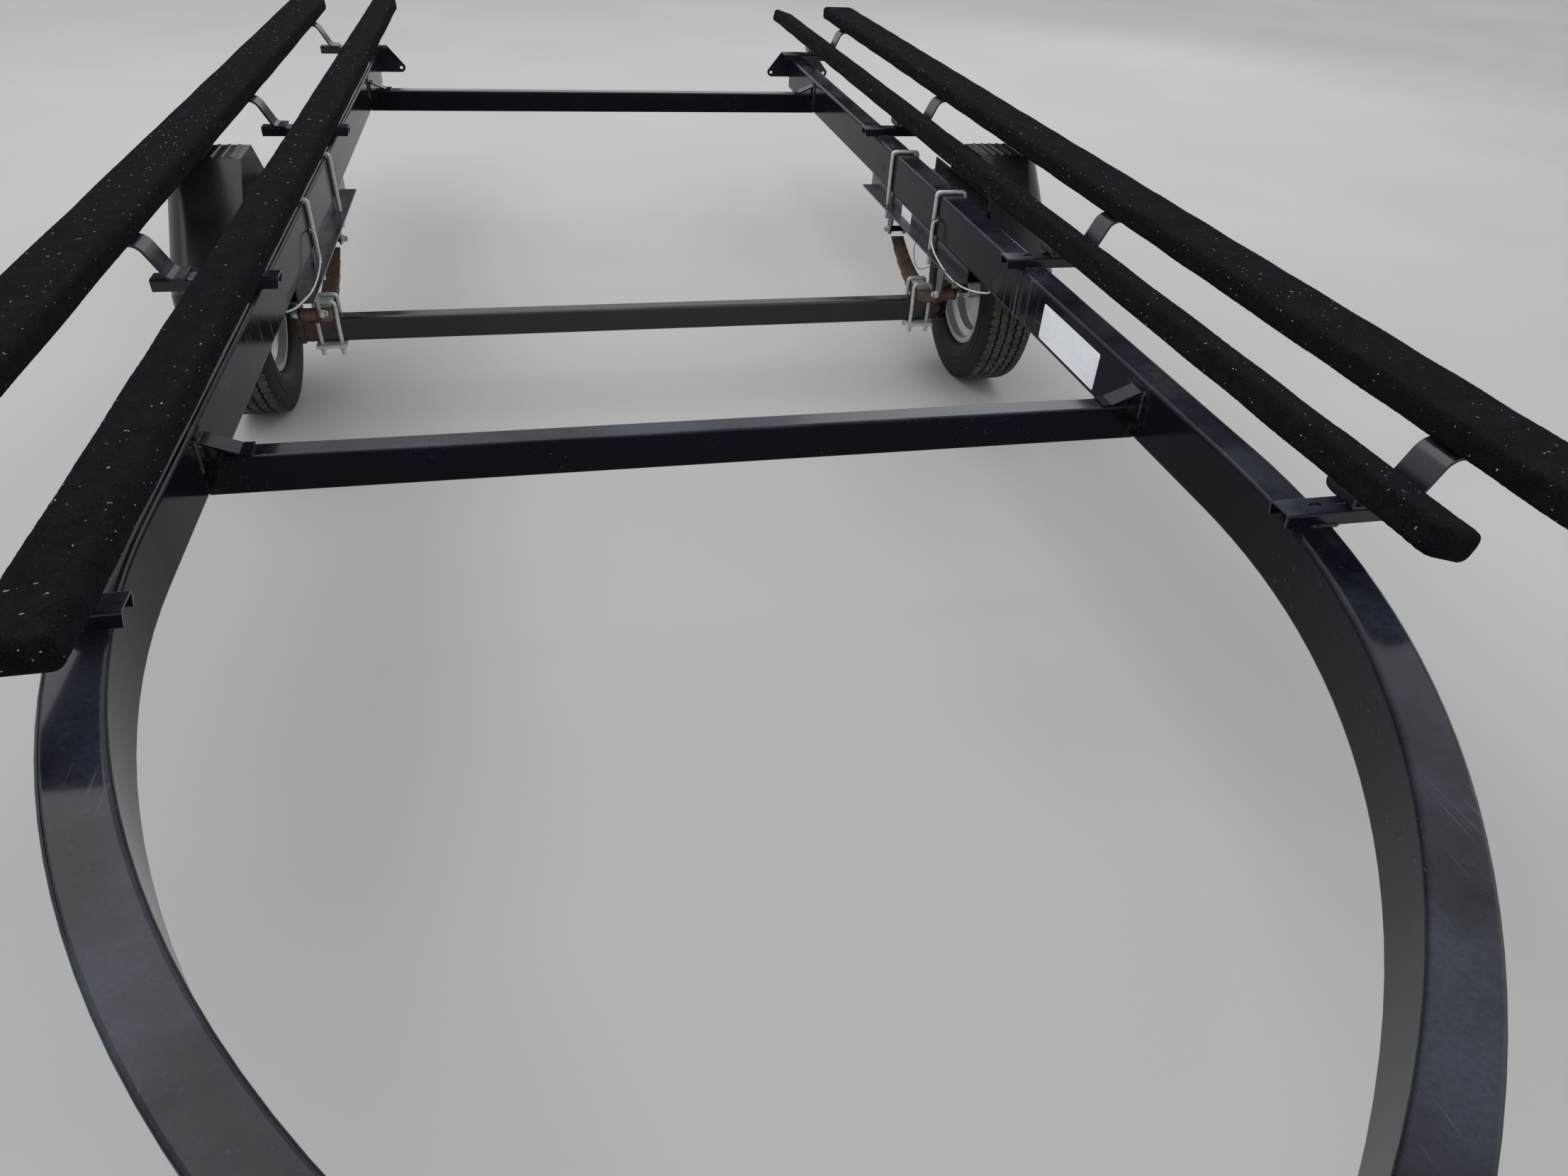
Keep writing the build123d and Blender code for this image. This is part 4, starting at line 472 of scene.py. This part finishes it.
def wheel_steel(s):
    """Silver wheel paint, dull with brake and road dirt in broad patches, with thin bright marks."""
    dirt = s.use("blotch", Scale=9.0, Edge=0.45, Softness=0.3)["Mask"]
    marks = s.use("scratch", Amount=0.4)["Mask"]
    colour = s.mix(s.times(dirt, 0.6), (0.46, 0.47, 0.48), (0.25, 0.24, 0.22))
    colour = s.mix(marks, colour, (0.6, 0.6, 0.6))
    return {"Base Color": colour, "Roughness": s.ramp(dirt, 0.0, 1.0, 0.32, 0.6)}


def tyre_rubber(s):
    """Black rubber: dark walls, dry brown dirt on the ribs and a little on the shoulders; the groove floors
    get no dirt and stay dark as painted shade.
    Ribs and shoulders are told apart by their distance from the hub line."""
    where = s.place()
    y = s.math("SUBTRACT", s.axis(where, "Y"), AXLE_Y)
    z = s.math("SUBTRACT", s.axis(where, "Z"), HUB_Z)
    radius = s.math("SQRT", s.plus(s.times(y, y), s.times(z, z)))
    rib = s.ramp(radius, TYRE_R - 0.0062, TYRE_R - 0.0040)
    wall = s.ramp(radius, 0.235, 0.290)
    patch = s.use("blotch", Scale=11.0, Edge=0.38, Softness=0.3)["Mask"]
    fine = s.use("blotch", Scale=140.0, Edge=0.42, Softness=0.3)["Mask"]
    broken = s.times(s.ramp(patch, 0.0, 1.0, 0.35, 1.0), s.ramp(fine, 0.0, 1.0, 0.3, 1.0))
    # Dirt on ribs and a little on the walls only: groove floors stay dark as painted shade
    dirt = s.times(s.most(rib, s.times(wall, 0.12)), broken)
    return {
        "Base Color": s.mix(dirt, (0.0080, 0.0080, 0.0083), (0.180, 0.158, 0.128)),
        "Roughness": s.ramp(dirt, 0.0, 1.0, 0.55, 0.92),
        "Normal": s.bump(s.use("grain", Scale=500.0)["Height"], 0.25, 0.0005),
    }


def fender_plastic(s):
    """Black moulded plastic under a grey film, more on faces that look up: dust, and in part a painted
    sheen.
    """
    haze_and_sheen = s.use("dust_and_sheen", Scale=3.0, Top=0.45, All=0.16)["Mask"]
    marks = s.use("scratch", Amount=0.5)["Mask"]
    # Grey film: dust, and partly painted sheen
    colour = s.mix(haze_and_sheen, (0.0085, 0.0090, 0.0105), (0.060, 0.066, 0.076))
    return {
        "Base Color": s.mix(marks, colour, (0.17, 0.17, 0.17)),
        "Roughness": s.ramp(haze_and_sheen, 0.0, 1.0, 0.24, 0.42),
        "Normal": s.bump(s.use("grain", Scale=700.0)["Height"], 0.08, 0.0004),
    }


def lamp_lens(s):
    """Red lens under a light film of dirt. Its upright flutes are the absolute value of a sine along X."""
    flute_width = 0.004
    flute = s.math("ABSOLUTE", s.math("SINE", s.times(s.axis(s.place(), "X"), math.pi / flute_width)))
    film = s.use("blotch", Scale=25.0, Edge=0.5, Softness=0.3)["Mask"]
    return {
        "Base Color": s.mix(s.times(film, 0.4), (0.36, 0.010, 0.010), (0.20, 0.05, 0.04)),
        "Roughness": s.ramp(film, 0.0, 1.0, 0.14, 0.45),
        "Normal": s.bump(flute, 0.35, 0.0008),
    }


def plain_grain(colour, other, scale, rough_low, rough_high, strength=0.2):
    """A surface that wanders between two near colours with a light grain, twelve times finer."""
    def build(s):
        spots = s.use("blotch", Scale=scale, Edge=0.4, Softness=0.3)["Mask"]
        return {
            "Base Color": s.mix(spots, colour, other),
            "Roughness": s.ramp(spots, 0.0, 1.0, rough_low, rough_high),
            "Normal": s.bump(s.use("grain", Scale=scale * 12)["Height"], strength, 0.0005),
        }
    return build


def floor_paint(s):
    """Pale warm grey with very broad, faint clouds."""
    cloud = s.ramp(s.noise(s.place(), 0.6, 2.0), 0.3, 0.7)
    return {"Base Color": s.mix(cloud, (0.415, 0.402, 0.388), (0.445, 0.432, 0.418))}


rubber = plain_grain((0.012, 0.012, 0.012), (0.03, 0.03, 0.028), 30.0, 0.6, 0.8)
jack_plastic = plain_grain((0.02, 0.02, 0.02), (0.05, 0.05, 0.048), 30.0, 0.5, 0.7)
label = plain_grain((0.80, 0.83, 0.86), (0.74, 0.77, 0.80), 40.0, 0.35, 0.5, 0.05)
wire_white = plain_grain((0.55, 0.54, 0.50), (0.42, 0.41, 0.38), 60.0, 0.4, 0.6)

FINISHES = {
    "rail_paint": (rail_paint, {"Specular_IOR_Level": 0.06, "Coat_Roughness": 0.10}),
    "bracket_paint": (bracket_paint, {}),
    "galvanised": (galvanised, {"Metallic": 0.4}),
    "rusty_steel": (rusty, {"Roughness": 0.86}),
    "beam_paint": (beam_paint, {}),
    "wheel_steel": (wheel_steel, {"Metallic": 0.55}),
    "tyre": (tyre_rubber, {"Specular_IOR_Level": 0.14}),
    "carpet": (carpet, {
        "Roughness": 1.0, "Specular_IOR_Level": 0.0, "Sheen_Weight": 0.02, "Sheen_Roughness": 0.5,
    }),
    "fender_plastic": (fender_plastic, {"Specular_IOR_Level": 0.32}),
    "lamp_red": (lamp_lens, {"Coat_Weight": 0.5}),
    "rubber": (rubber, {}),
    "jack_plastic": (jack_plastic, {}),
    "weld_bead": (weld_bead, {"Specular_IOR_Level": 0.4}),
    "label": (label, {}),
    "wire_white": (wire_white, {}),
    "studio_floor": (floor_paint, {"Roughness": 0.85}),
}
MATS = {name: material(name, build, **constants) for name, (build, constants) in FINISHES.items()}

for node, obj in frame["nodes"].items():
    slot = next(sub["material_slot"] for sub in frame["record"]["subparts"] if sub["node"] == node)
    finish = "beam_paint" if node == "axle_beam" else slot
    obj.data.materials.clear()
    obj.data.materials.append(MATS[finish])


# Pieces


def dressed(piece, finish, slot, body, *nodes):
    """Gives a new piece its material and its body, and hides the nodes it stands for. The slot is not used.
    """
    piece.data.materials.append(MATS[finish])
    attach(piece, body)
    if nodes:
        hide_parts(*nodes)


# Tyre: the wall from the bead outwards and the shoulder below the tread, as distance from the tyre's middle
# plane and radius. A shoulder's third value is the share of the notch depth there.
TYRE_WALL = (
    (0.0555, 0.1685), (0.0565, 0.186), (0.066, 0.189), (0.076, 0.198), (0.084, 0.212), (0.0868, 0.228),
    (0.0872, 0.236), (0.0864, 0.2375), (0.0868, 0.239), (0.0862, 0.252), (0.0846, 0.2535), (0.0838, 0.264),
    (0.0820, 0.274), (0.0800, 0.281),
)
TREAD_EDGE = 0.0675
PITCHES = 66
STEPS_A_PITCH = 12
GROOVES = (-0.0430, -0.0145, 0.0145, 0.0430)
GROOVE_DEPTH = 7.5e-3
GROOVE_HALF_WIDTH = 3.1e-3
GROOVE_LEAN = 1.2e-3
GROOVE_SWING = 2.6e-3
CUT_DEPTH = 3.6e-3
CUT_LENGTH = 5.8e-3
NOTCH_DEPTH = 4.2e-3


def tread_fall(x):
    """How far the tread's crown has fallen at this distance from the middle: its cube, 3.4 mm at 69 mm."""
    return 3.4e-3 * (np.abs(x) / 0.069) ** 3


TYRE_SHOULDER = (
    (0.0780, 0.2890, 1.0), (0.0748, 0.2965, 1.25), (0.0712, TYRE_R - 0.0045, 1.2),
    (TREAD_EDGE, TYRE_R - tread_fall(TREAD_EDGE), 1.0),
)


def tyre_surface(sign):
    """A tyre turned about the hub line, its section carried from bead to bead over the tread. Five ribs
    stand between four zigzag grooves; the radius falls by the groove depth inside a groove, by less at the
    short cuts across the ribs and at the notches in the shoulders."""
    around = STEPS_A_PITCH * PITCHES
    angle = np.linspace(0, 2 * math.pi, around, endpoint=False)
    step = np.arange(around) % STEPS_A_PITCH
    zig = np.abs(step / STEPS_A_PITCH - 0.5) * 4 - 1
    columns = []

    def add(x, r):
        columns.append((np.broadcast_to(x, angle.shape), np.broadcast_to(r, angle.shape)))

    def notch(first, last, deep, turn):
        at = (step + turn) % STEPS_A_PITCH
        return np.where((at >= first) & (at <= last), deep, 0.0)

    def shoulder(way, rows, turn):
        for x, r, share in rows:
            add(way * x, r - notch(0, 2, NOTCH_DEPTH, turn) * share)

    for x, r in TYRE_WALL:
        add(-x, r)
    shoulder(-1, TYRE_SHOULDER, 0)
    for n, groove in enumerate(GROOVES):
        line = groove + GROOVE_SWING * (zig if n % 2 else -zig)
        crown = TYRE_R - tread_fall(groove)
        left = notch(4, 5, CUT_DEPTH, 3 * n)
        right = notch(9, 10, CUT_DEPTH, 3 * n)
        rim = GROOVE_HALF_WIDTH + GROOVE_LEAN
        add(line - rim - CUT_LENGTH, crown - left * 0.9)
        add(line - rim, crown - left)
        add(line - GROOVE_HALF_WIDTH, crown - GROOVE_DEPTH)
        add(line + GROOVE_HALF_WIDTH, crown - GROOVE_DEPTH)
        add(line + rim, crown - right)
        add(line + rim + CUT_LENGTH, crown - right * 0.9)
    shoulder(1, reversed(TYRE_SHOULDER), STEPS_A_PITCH // 2)
    for x, r in reversed(TYRE_WALL):
        add(x, r)

    xs = np.stack([c[0] for c in columns])
    rs = np.stack([c[1] for c in columns])
    points = np.stack([
        sign * WHEEL_X + sign * xs, AXLE_Y + rs * np.sin(angle), HUB_Z + rs * np.cos(angle)
    ], axis=-1)
    faces = grid_faces(len(xs), around, wrap_rows=True, wrap_cols=True)
    return points, faces[:, ::-1] if sign > 0 else faces


for side, sign in SIDES.items():
    tyre = add_mesh(f"tyre_tread_{side}", *tyre_surface(sign), sharp=32)
    dressed(tyre, "tyre", "tyre", f"wheel_{side}", f"tyre_{side}")


# Bunks: x and rise place the inner lower edge from the middle plane and the rail's top, wide and thick are
# the section, and the length is the node's own. The corner rounds the ends in plan, and fold is 1 where the
# carpet is folded in at the ends.
INNER = {"rise": 0.070, "wide": 0.104, "thick": 0.054}
OUTER = {"wide": 0.150, "thick": 0.052, "corner": 0.036, "fold": 0.0}
BUNKS = {
    "inner_right": {**INNER, "x": 0.953, "tilt": -17.0, "corner": 0.036, "fold": 1.0},
    "inner_left": {**INNER, "x": 0.870, "tilt": -1.0, "corner": 0.015, "fold": 0.0},
    "outer_right": {**OUTER, "x": 1.1365, "rise": 0.124, "tilt": 0.0},
    "outer_left": {**OUTER, "x": 1.1343, "rise": 0.112, "tilt": -4.0},
}
FOLD_LENGTH = 0.062
FOLD_STEP = 0.002
FOLD_GROOVE_DEPTH = 0.0016
FOLD_GROOVE_WIDTH = 0.0022
FOLD_RISE = 0.0004
END_LENGTH = 0.038
END_STATIONS = 16
END_THINNING = 0.017
MIDDLE_STATIONS = 900
EDGE_ROUND = 0.0155
EDGE_STEPS = 10
NAP_HEIGHT = 0.0004
WAVES = 12
WAVE_HEIGHT = 0.00022
WAVE_LIMITS = (-0.0009, 0.0006)
WAVES_ALONG = (2, 30)
WAVES_AROUND = (1, 5)


def quarter_cut(distance, radius):
    """How far a round corner of this radius pulls a side in, at a distance from the end."""
    left = np.clip(radius - distance, 0, radius)
    return radius - np.sqrt(np.clip(radius**2 - left**2, 0, None))


def stations_along(length):
    """Distances along a bunk: closer by a cosine at both ends, even between, and five at each fold."""
    ends = END_LENGTH * (1 - np.cos(np.linspace(0.0, math.pi / 2, END_STATIONS)))
    folds = FOLD_LENGTH + FOLD_STEP * np.arange(-2, 3)
    middle = np.linspace(END_LENGTH, length - END_LENGTH, MIDDLE_STATIONS)
    return np.sort(np.concatenate([ends[:-1], middle, length - ends[:-1], folds, length - folds]))


def bunk_cover(size, front, rear, sign, seed):
    """Carpet over a board: a rounded rectangle carried along Y. Its width and thickness are cut back at
    both ends by quarter circles, and slow waves and a fine nap ride on it. Where the carpet is folded in,
    the end, as long as the fold, stands a little proud behind a narrow groove."""
    rng = np.random.default_rng(seed)
    along = stations_along(rear - front)
    from_end = np.minimum(along, along[-1] - along)
    wide = size["wide"] - 2 * quarter_cut(from_end, size["corner"])
    thick = size["thick"] - 2 * quarter_cut(from_end, END_THINNING)
    edge = np.minimum(EDGE_ROUND, 0.5 * np.minimum(wide, thick) - 0.001)
    flat, outward = rounded_outlines(wide, thick, edge, EDGE_STEPS)
    count = flat.shape[1]
    u = np.arange(count) / count
    wave = np.zeros((len(along), count))
    for _ in range(WAVES):
        height = rng.normal(0, WAVE_HEIGHT)
        lengthways = along[:, None] * rng.uniform(*WAVES_ALONG)
        lead = rng.uniform(0, 6.28)
        wave += height * np.sin(lengthways + lead + 2 * math.pi * rng.integers(*WAVES_AROUND) * u)
    wave = np.clip(wave, *WAVE_LIMITS) + WAVE_LIMITS[0]
    wave += rng.uniform(-NAP_HEIGHT, NAP_HEIGHT, wave.shape)
    groove = (from_end - FOLD_LENGTH) / FOLD_GROOVE_WIDTH
    wave -= size["fold"] * FOLD_GROOVE_DEPTH * np.exp(-groove**2)[:, None]
    wave += size["fold"] * np.where(from_end < FOLD_LENGTH, FOLD_RISE, 0.0)[:, None]
    flat = flat + outward * wave[..., None] + np.array([size["wide"] / 2, size["thick"] / 2])
    tilt = math.radians(size["tilt"])
    x = size["x"] + flat[..., 0] * math.cos(tilt) - flat[..., 1] * math.sin(tilt)
    z = RAIL_TOP + size["rise"] + flat[..., 0] * math.sin(tilt) + flat[..., 1] * math.cos(tilt)
    y = np.broadcast_to((rear - along)[:, None], x.shape)
    return closed_tube(np.stack([sign * x, y, z], axis=-1), flip=sign > 0)


for number, (which, size) in enumerate(BUNKS.items()):
    low, high = corners(f"bunk_{which}")
    sign = SIDES[which.split("_")[1]]
    cover = add_mesh(f"carpet_{which}", *bunk_cover(size, low[1], high[1], sign, 40 + number))
    dressed(cover, "carpet", "carpet", "frame", f"bunk_{which}")


# Labels: blank, on the right rail's inner face and on the right hanger, each as x, the span along Y counted
# from the axle, the span in height counted from the rail's top, and the corner radius.
LABELS = {
    "label_rail_right": (RAIL_INNER_X, (-1.276, -0.970), (-0.114, -0.026), 0.006),
    "label_hanger_right": (0.9190, (0.084, 0.186), (-0.170, -0.131), 0.003),
}
LABEL_THICK = 0.0006


def sticker(x, span_y, span_z, corner):
    """A thin sticker with round corners, flat on a wall of constant X and facing the trailer's middle: its
    outline is carried out by the thickness, and drawn in a little over the last third."""
    flat, _ = rounded_outlines(span_y[1] - span_y[0], span_z[1] - span_z[0], corner, 6)
    middle = np.array([AXLE_Y + sum(span_y) / 2, RAIL_TOP + sum(span_z) / 2])
    rings = []
    for out, shrink in ((0.0, 1.0), (LABEL_THICK * 0.7, 1.0), (LABEL_THICK, 0.997)):
        ring = middle + flat[0] * shrink
        rings.append(np.stack([np.full(len(ring), x - out), ring[:, 0], ring[:, 1]], axis=-1))
    return closed_tube(np.stack(rings), flip=True)


for name, size in LABELS.items():
    patch = add_mesh(name, *sticker(*size), sharp=40)
    dressed(patch, "label", None, "frame")


# Bolt ends at both faces of each spring's ears, front and rear. The nut's chamfer is between two shares of
# its height, and each row of the tip is the distance from the rod's end and the share of its radius.
EAR_FACES = ((0.91825, -1), (0.97575, 1))
EAR_BOLTS = ((AXLE_Y - 0.2456, 0.38505), (AXLE_Y + 0.298, 0.41755))
NUT_R = 0.0116
NUT_H = 0.0113
ROD_R = 0.0083
ROD_L = 0.0193
NUT_CHAMFER = (0.80, 0.93)
ROD_TIP = ((0.0008, 0.92), (0.0, 0.72))
THREAD_PITCH = 0.00175
THREAD_DEPTH = 0.0004
THREAD_STEP = 0.00044


def bolt_end(x, y, z, face):
    """A chamfered hexagon nut with the threaded end of its bolt: rings along X whose radius follows the
    hexagon, then draws in to a circle at the chamfer, then runs over the thread's ridges to a domed tip."""
    turn = np.linspace(0, 2 * math.pi, 49)[:-1]
    flats = NUT_R * math.cos(math.pi / 6)
    hexagon = flats / np.cos((turn + math.pi / 6) % (math.pi / 3) - math.pi / 6)
    disc = np.full_like(turn, flats * 0.98)
    chamfer = np.minimum(hexagon, disc * 1.08)
    along = np.arange(NUT_H + 0.0005, ROD_L - 0.0012, THREAD_STEP)
    ridges = ROD_R - THREAD_DEPTH + THREAD_DEPTH * np.sin(2 * math.pi * along / THREAD_PITCH)
    tip = [(ROD_L - back, ROD_R * share) for back, share in ROD_TIP]
    rows = [
        (0.0, hexagon), (NUT_H * NUT_CHAMFER[0], hexagon), (NUT_H * NUT_CHAMFER[1], chamfer), (NUT_H, disc),
        (NUT_H + 0.0001, ROD_R), *zip(along, ridges), *tip,
    ]
    rings = np.stack([
        np.stack([np.full_like(turn, x + face * at), y + r * np.cos(turn), z + r * np.sin(turn)], axis=-1)
        for at, r in rows
    ])
    return closed_tube(rings, flip=face < 0)


bolt_ends = [
    bolt_end(sign * x, y, z, sign * way)
    for sign in SIDES.values() for x, way in EAR_FACES for y, z in EAR_BOLTS
]
nuts = add_mesh("spring_bolt_nuts", *joined(bolt_ends), sharp=28)
dressed(nuts, "galvanised", "galvanised", "frame")


# Welds: upright beside the crossmembers' ends, between two heights above the rail's lower edge, and across
# the rail's top along the bunk channels' feet, clear of its two edges
UPRIGHT_WELD = (0.045, 0.113)
WELD_CLEAR = (0.012, 0.010)
BEAD_R = 0.0042
BEAD_STEP = 0.0015
BEAD_RIPPLE = 0.0045


def weld_lines():
    """The two ends of each weld, by pairs at both edges of each crossmember and channel."""
    lines = []
    for sign in SIDES.values():
        inner = sign * (RAIL_INNER_X - 0.001)
        across = (sign * (RAIL_INNER_X + WELD_CLEAR[0]), sign * (RAIL_OUTER_X - WELD_CLEAR[1]))
        for place in CROSS_PLACES:
            for y in (place - TUBE_HALF, place + TUBE_HALF):
                lines.append([(inner, y, RAIL_LOW + rise) for rise in UPRIGHT_WELD])
        for place in CHANNEL_PLACES:
            for y in (place - TUBE_HALF, place + TUBE_HALF):
                lines.append([(x, y, RAIL_TOP) for x in across])
    return lines


def bead(ends, seed):
    """A weld bead: a half sunk tube along a straight line, its radius rising and falling once each ripple
    and drawn in at both ends."""
    rng = np.random.default_rng(seed)
    start, stop = np.asarray(ends, dtype=float)
    length = np.linalg.norm(stop - start)
    count = max(6, int(length / BEAD_STEP))
    at = np.linspace(0, length, count)
    ahead = (stop - start) / length
    helper = (1.0, 0.3, 0.0) if abs(ahead[2]) > 0.8 else (0.0, 0.1, 1.0)
    side = np.cross(helper, ahead)
    side /= np.linalg.norm(side)
    up = np.cross(ahead, side)
    phase = at / BEAD_RIPPLE + rng.uniform(0, 0.25, count)
    swell = 0.86 + 0.14 * np.abs(np.sin(math.pi * phase)) + rng.uniform(-0.05, 0.05, count)
    swell *= np.clip(np.minimum(at, length - at) / (BEAD_R * 1.2), 0.25, 1)
    turn = np.linspace(0, 2 * math.pi, 9)[:-1, None]
    ring = np.cos(turn) * side + np.sin(turn) * up
    centre = start + at[:, None] * ahead
    return closed_tube(centre[:, None] + ring * (BEAD_R * swell)[:, None, None])


welds = [bead(ends, 60 + n) for n, ends in enumerate(weld_lines())]
beads = add_mesh("frame_welds", *joined(welds))
dressed(beads, "weld_bead", "rail_paint", "frame")


# Floor, light and camera

FLOOR_HALF = 150.0
FLOOR_CORNERS = 9
side_line = np.linspace(-FLOOR_HALF, FLOOR_HALF, FLOOR_CORNERS)
yy, xx = np.meshgrid(side_line, side_line, indexing="ij")
floor_points = np.stack([xx, yy, np.zeros_like(xx)], axis=-1)
floor = add_mesh("studio_floor", floor_points, grid_faces(FLOOR_CORNERS, FLOOR_CORNERS))
floor.data.materials.append(MATS["studio_floor"])

world = bpy.data.worlds.new("studio_sky")
bpy.context.scene.world = world
world.use_nodes = True
sky = world.node_tree.nodes["Background"]
sky.inputs["Color"].default_value = (0.93, 0.96, 1.0, 1)
sky.inputs["Strength"].default_value = 0.95


def put(name, data, place, right, up, back):
    """Places a lamp or camera, with the directions of its own three axes."""
    obj = bpy.data.objects.new(name, data)
    bpy.context.scene.collection.objects.link(obj)
    rows = [[right[k], up[k], back[k], place[k]] for k in range(3)]
    obj.matrix_world = Matrix([*rows, [0, 0, 0, 1]])
    return obj


def softbox(name, place, aim, width, height, power, colour):
    """A rectangular lamp at a place, turned towards a point."""
    light = bpy.data.lights.new(name, "AREA")
    light.shape = "RECTANGLE"
    light.size = width
    light.size_y = height
    light.energy = power
    light.color = colour
    back = np.array(place, dtype=float) - np.array(aim, dtype=float)
    back /= np.linalg.norm(back)
    side = np.cross((0.0, 1.0, 0.001), back)
    side /= np.linalg.norm(side)
    put(name, light, place, side, np.cross(back, side), back)


softbox("high_soft", (-2.5, 2.0, 7.5), (0.2, 0.8, 0.3), 7.0, 9.0, 270, (1.0, 0.98, 0.95))
softbox("rear_soft", (5.0, 7.5, 4.5), (0.0, 0.5, 0.4), 5.0, 3.5, 90, (0.92, 0.96, 1.0))

# Camera: where it stands, how it is turned in radians, and its focal length against the picture's width
CAMERA_PLACE = (-0.29005, AXLE_Y - 3.254, RAIL_TOP + 0.9112)
YAW, PITCH, ROLL = 0.2499, 0.6390, 0.0631
FOCAL_PX, IMAGE_W = 1464.95, 2212.0
SENSOR_MM = 36.0

camera_data = bpy.data.cameras.new("photo_camera")
camera_data.sensor_width = SENSOR_MM
camera_data.lens = SENSOR_MM * FOCAL_PX / IMAGE_W
camera_data.clip_start = 0.05
camera_data.clip_end = 200.0
forward = np.array([math.sin(YAW) * math.cos(PITCH), math.cos(YAW) * math.cos(PITCH), -math.sin(PITCH)])
level = np.array([math.cos(YAW), -math.sin(YAW), 0.0])
upward = np.cross(level, forward)
right = math.cos(ROLL) * level + math.sin(ROLL) * upward
top = -math.sin(ROLL) * level + math.cos(ROLL) * upward
bpy.context.scene.camera = put("photo_camera", camera_data, CAMERA_PLACE, right, top, -forward)
bpy.context.scene.view_settings.view_transform = "Standard"
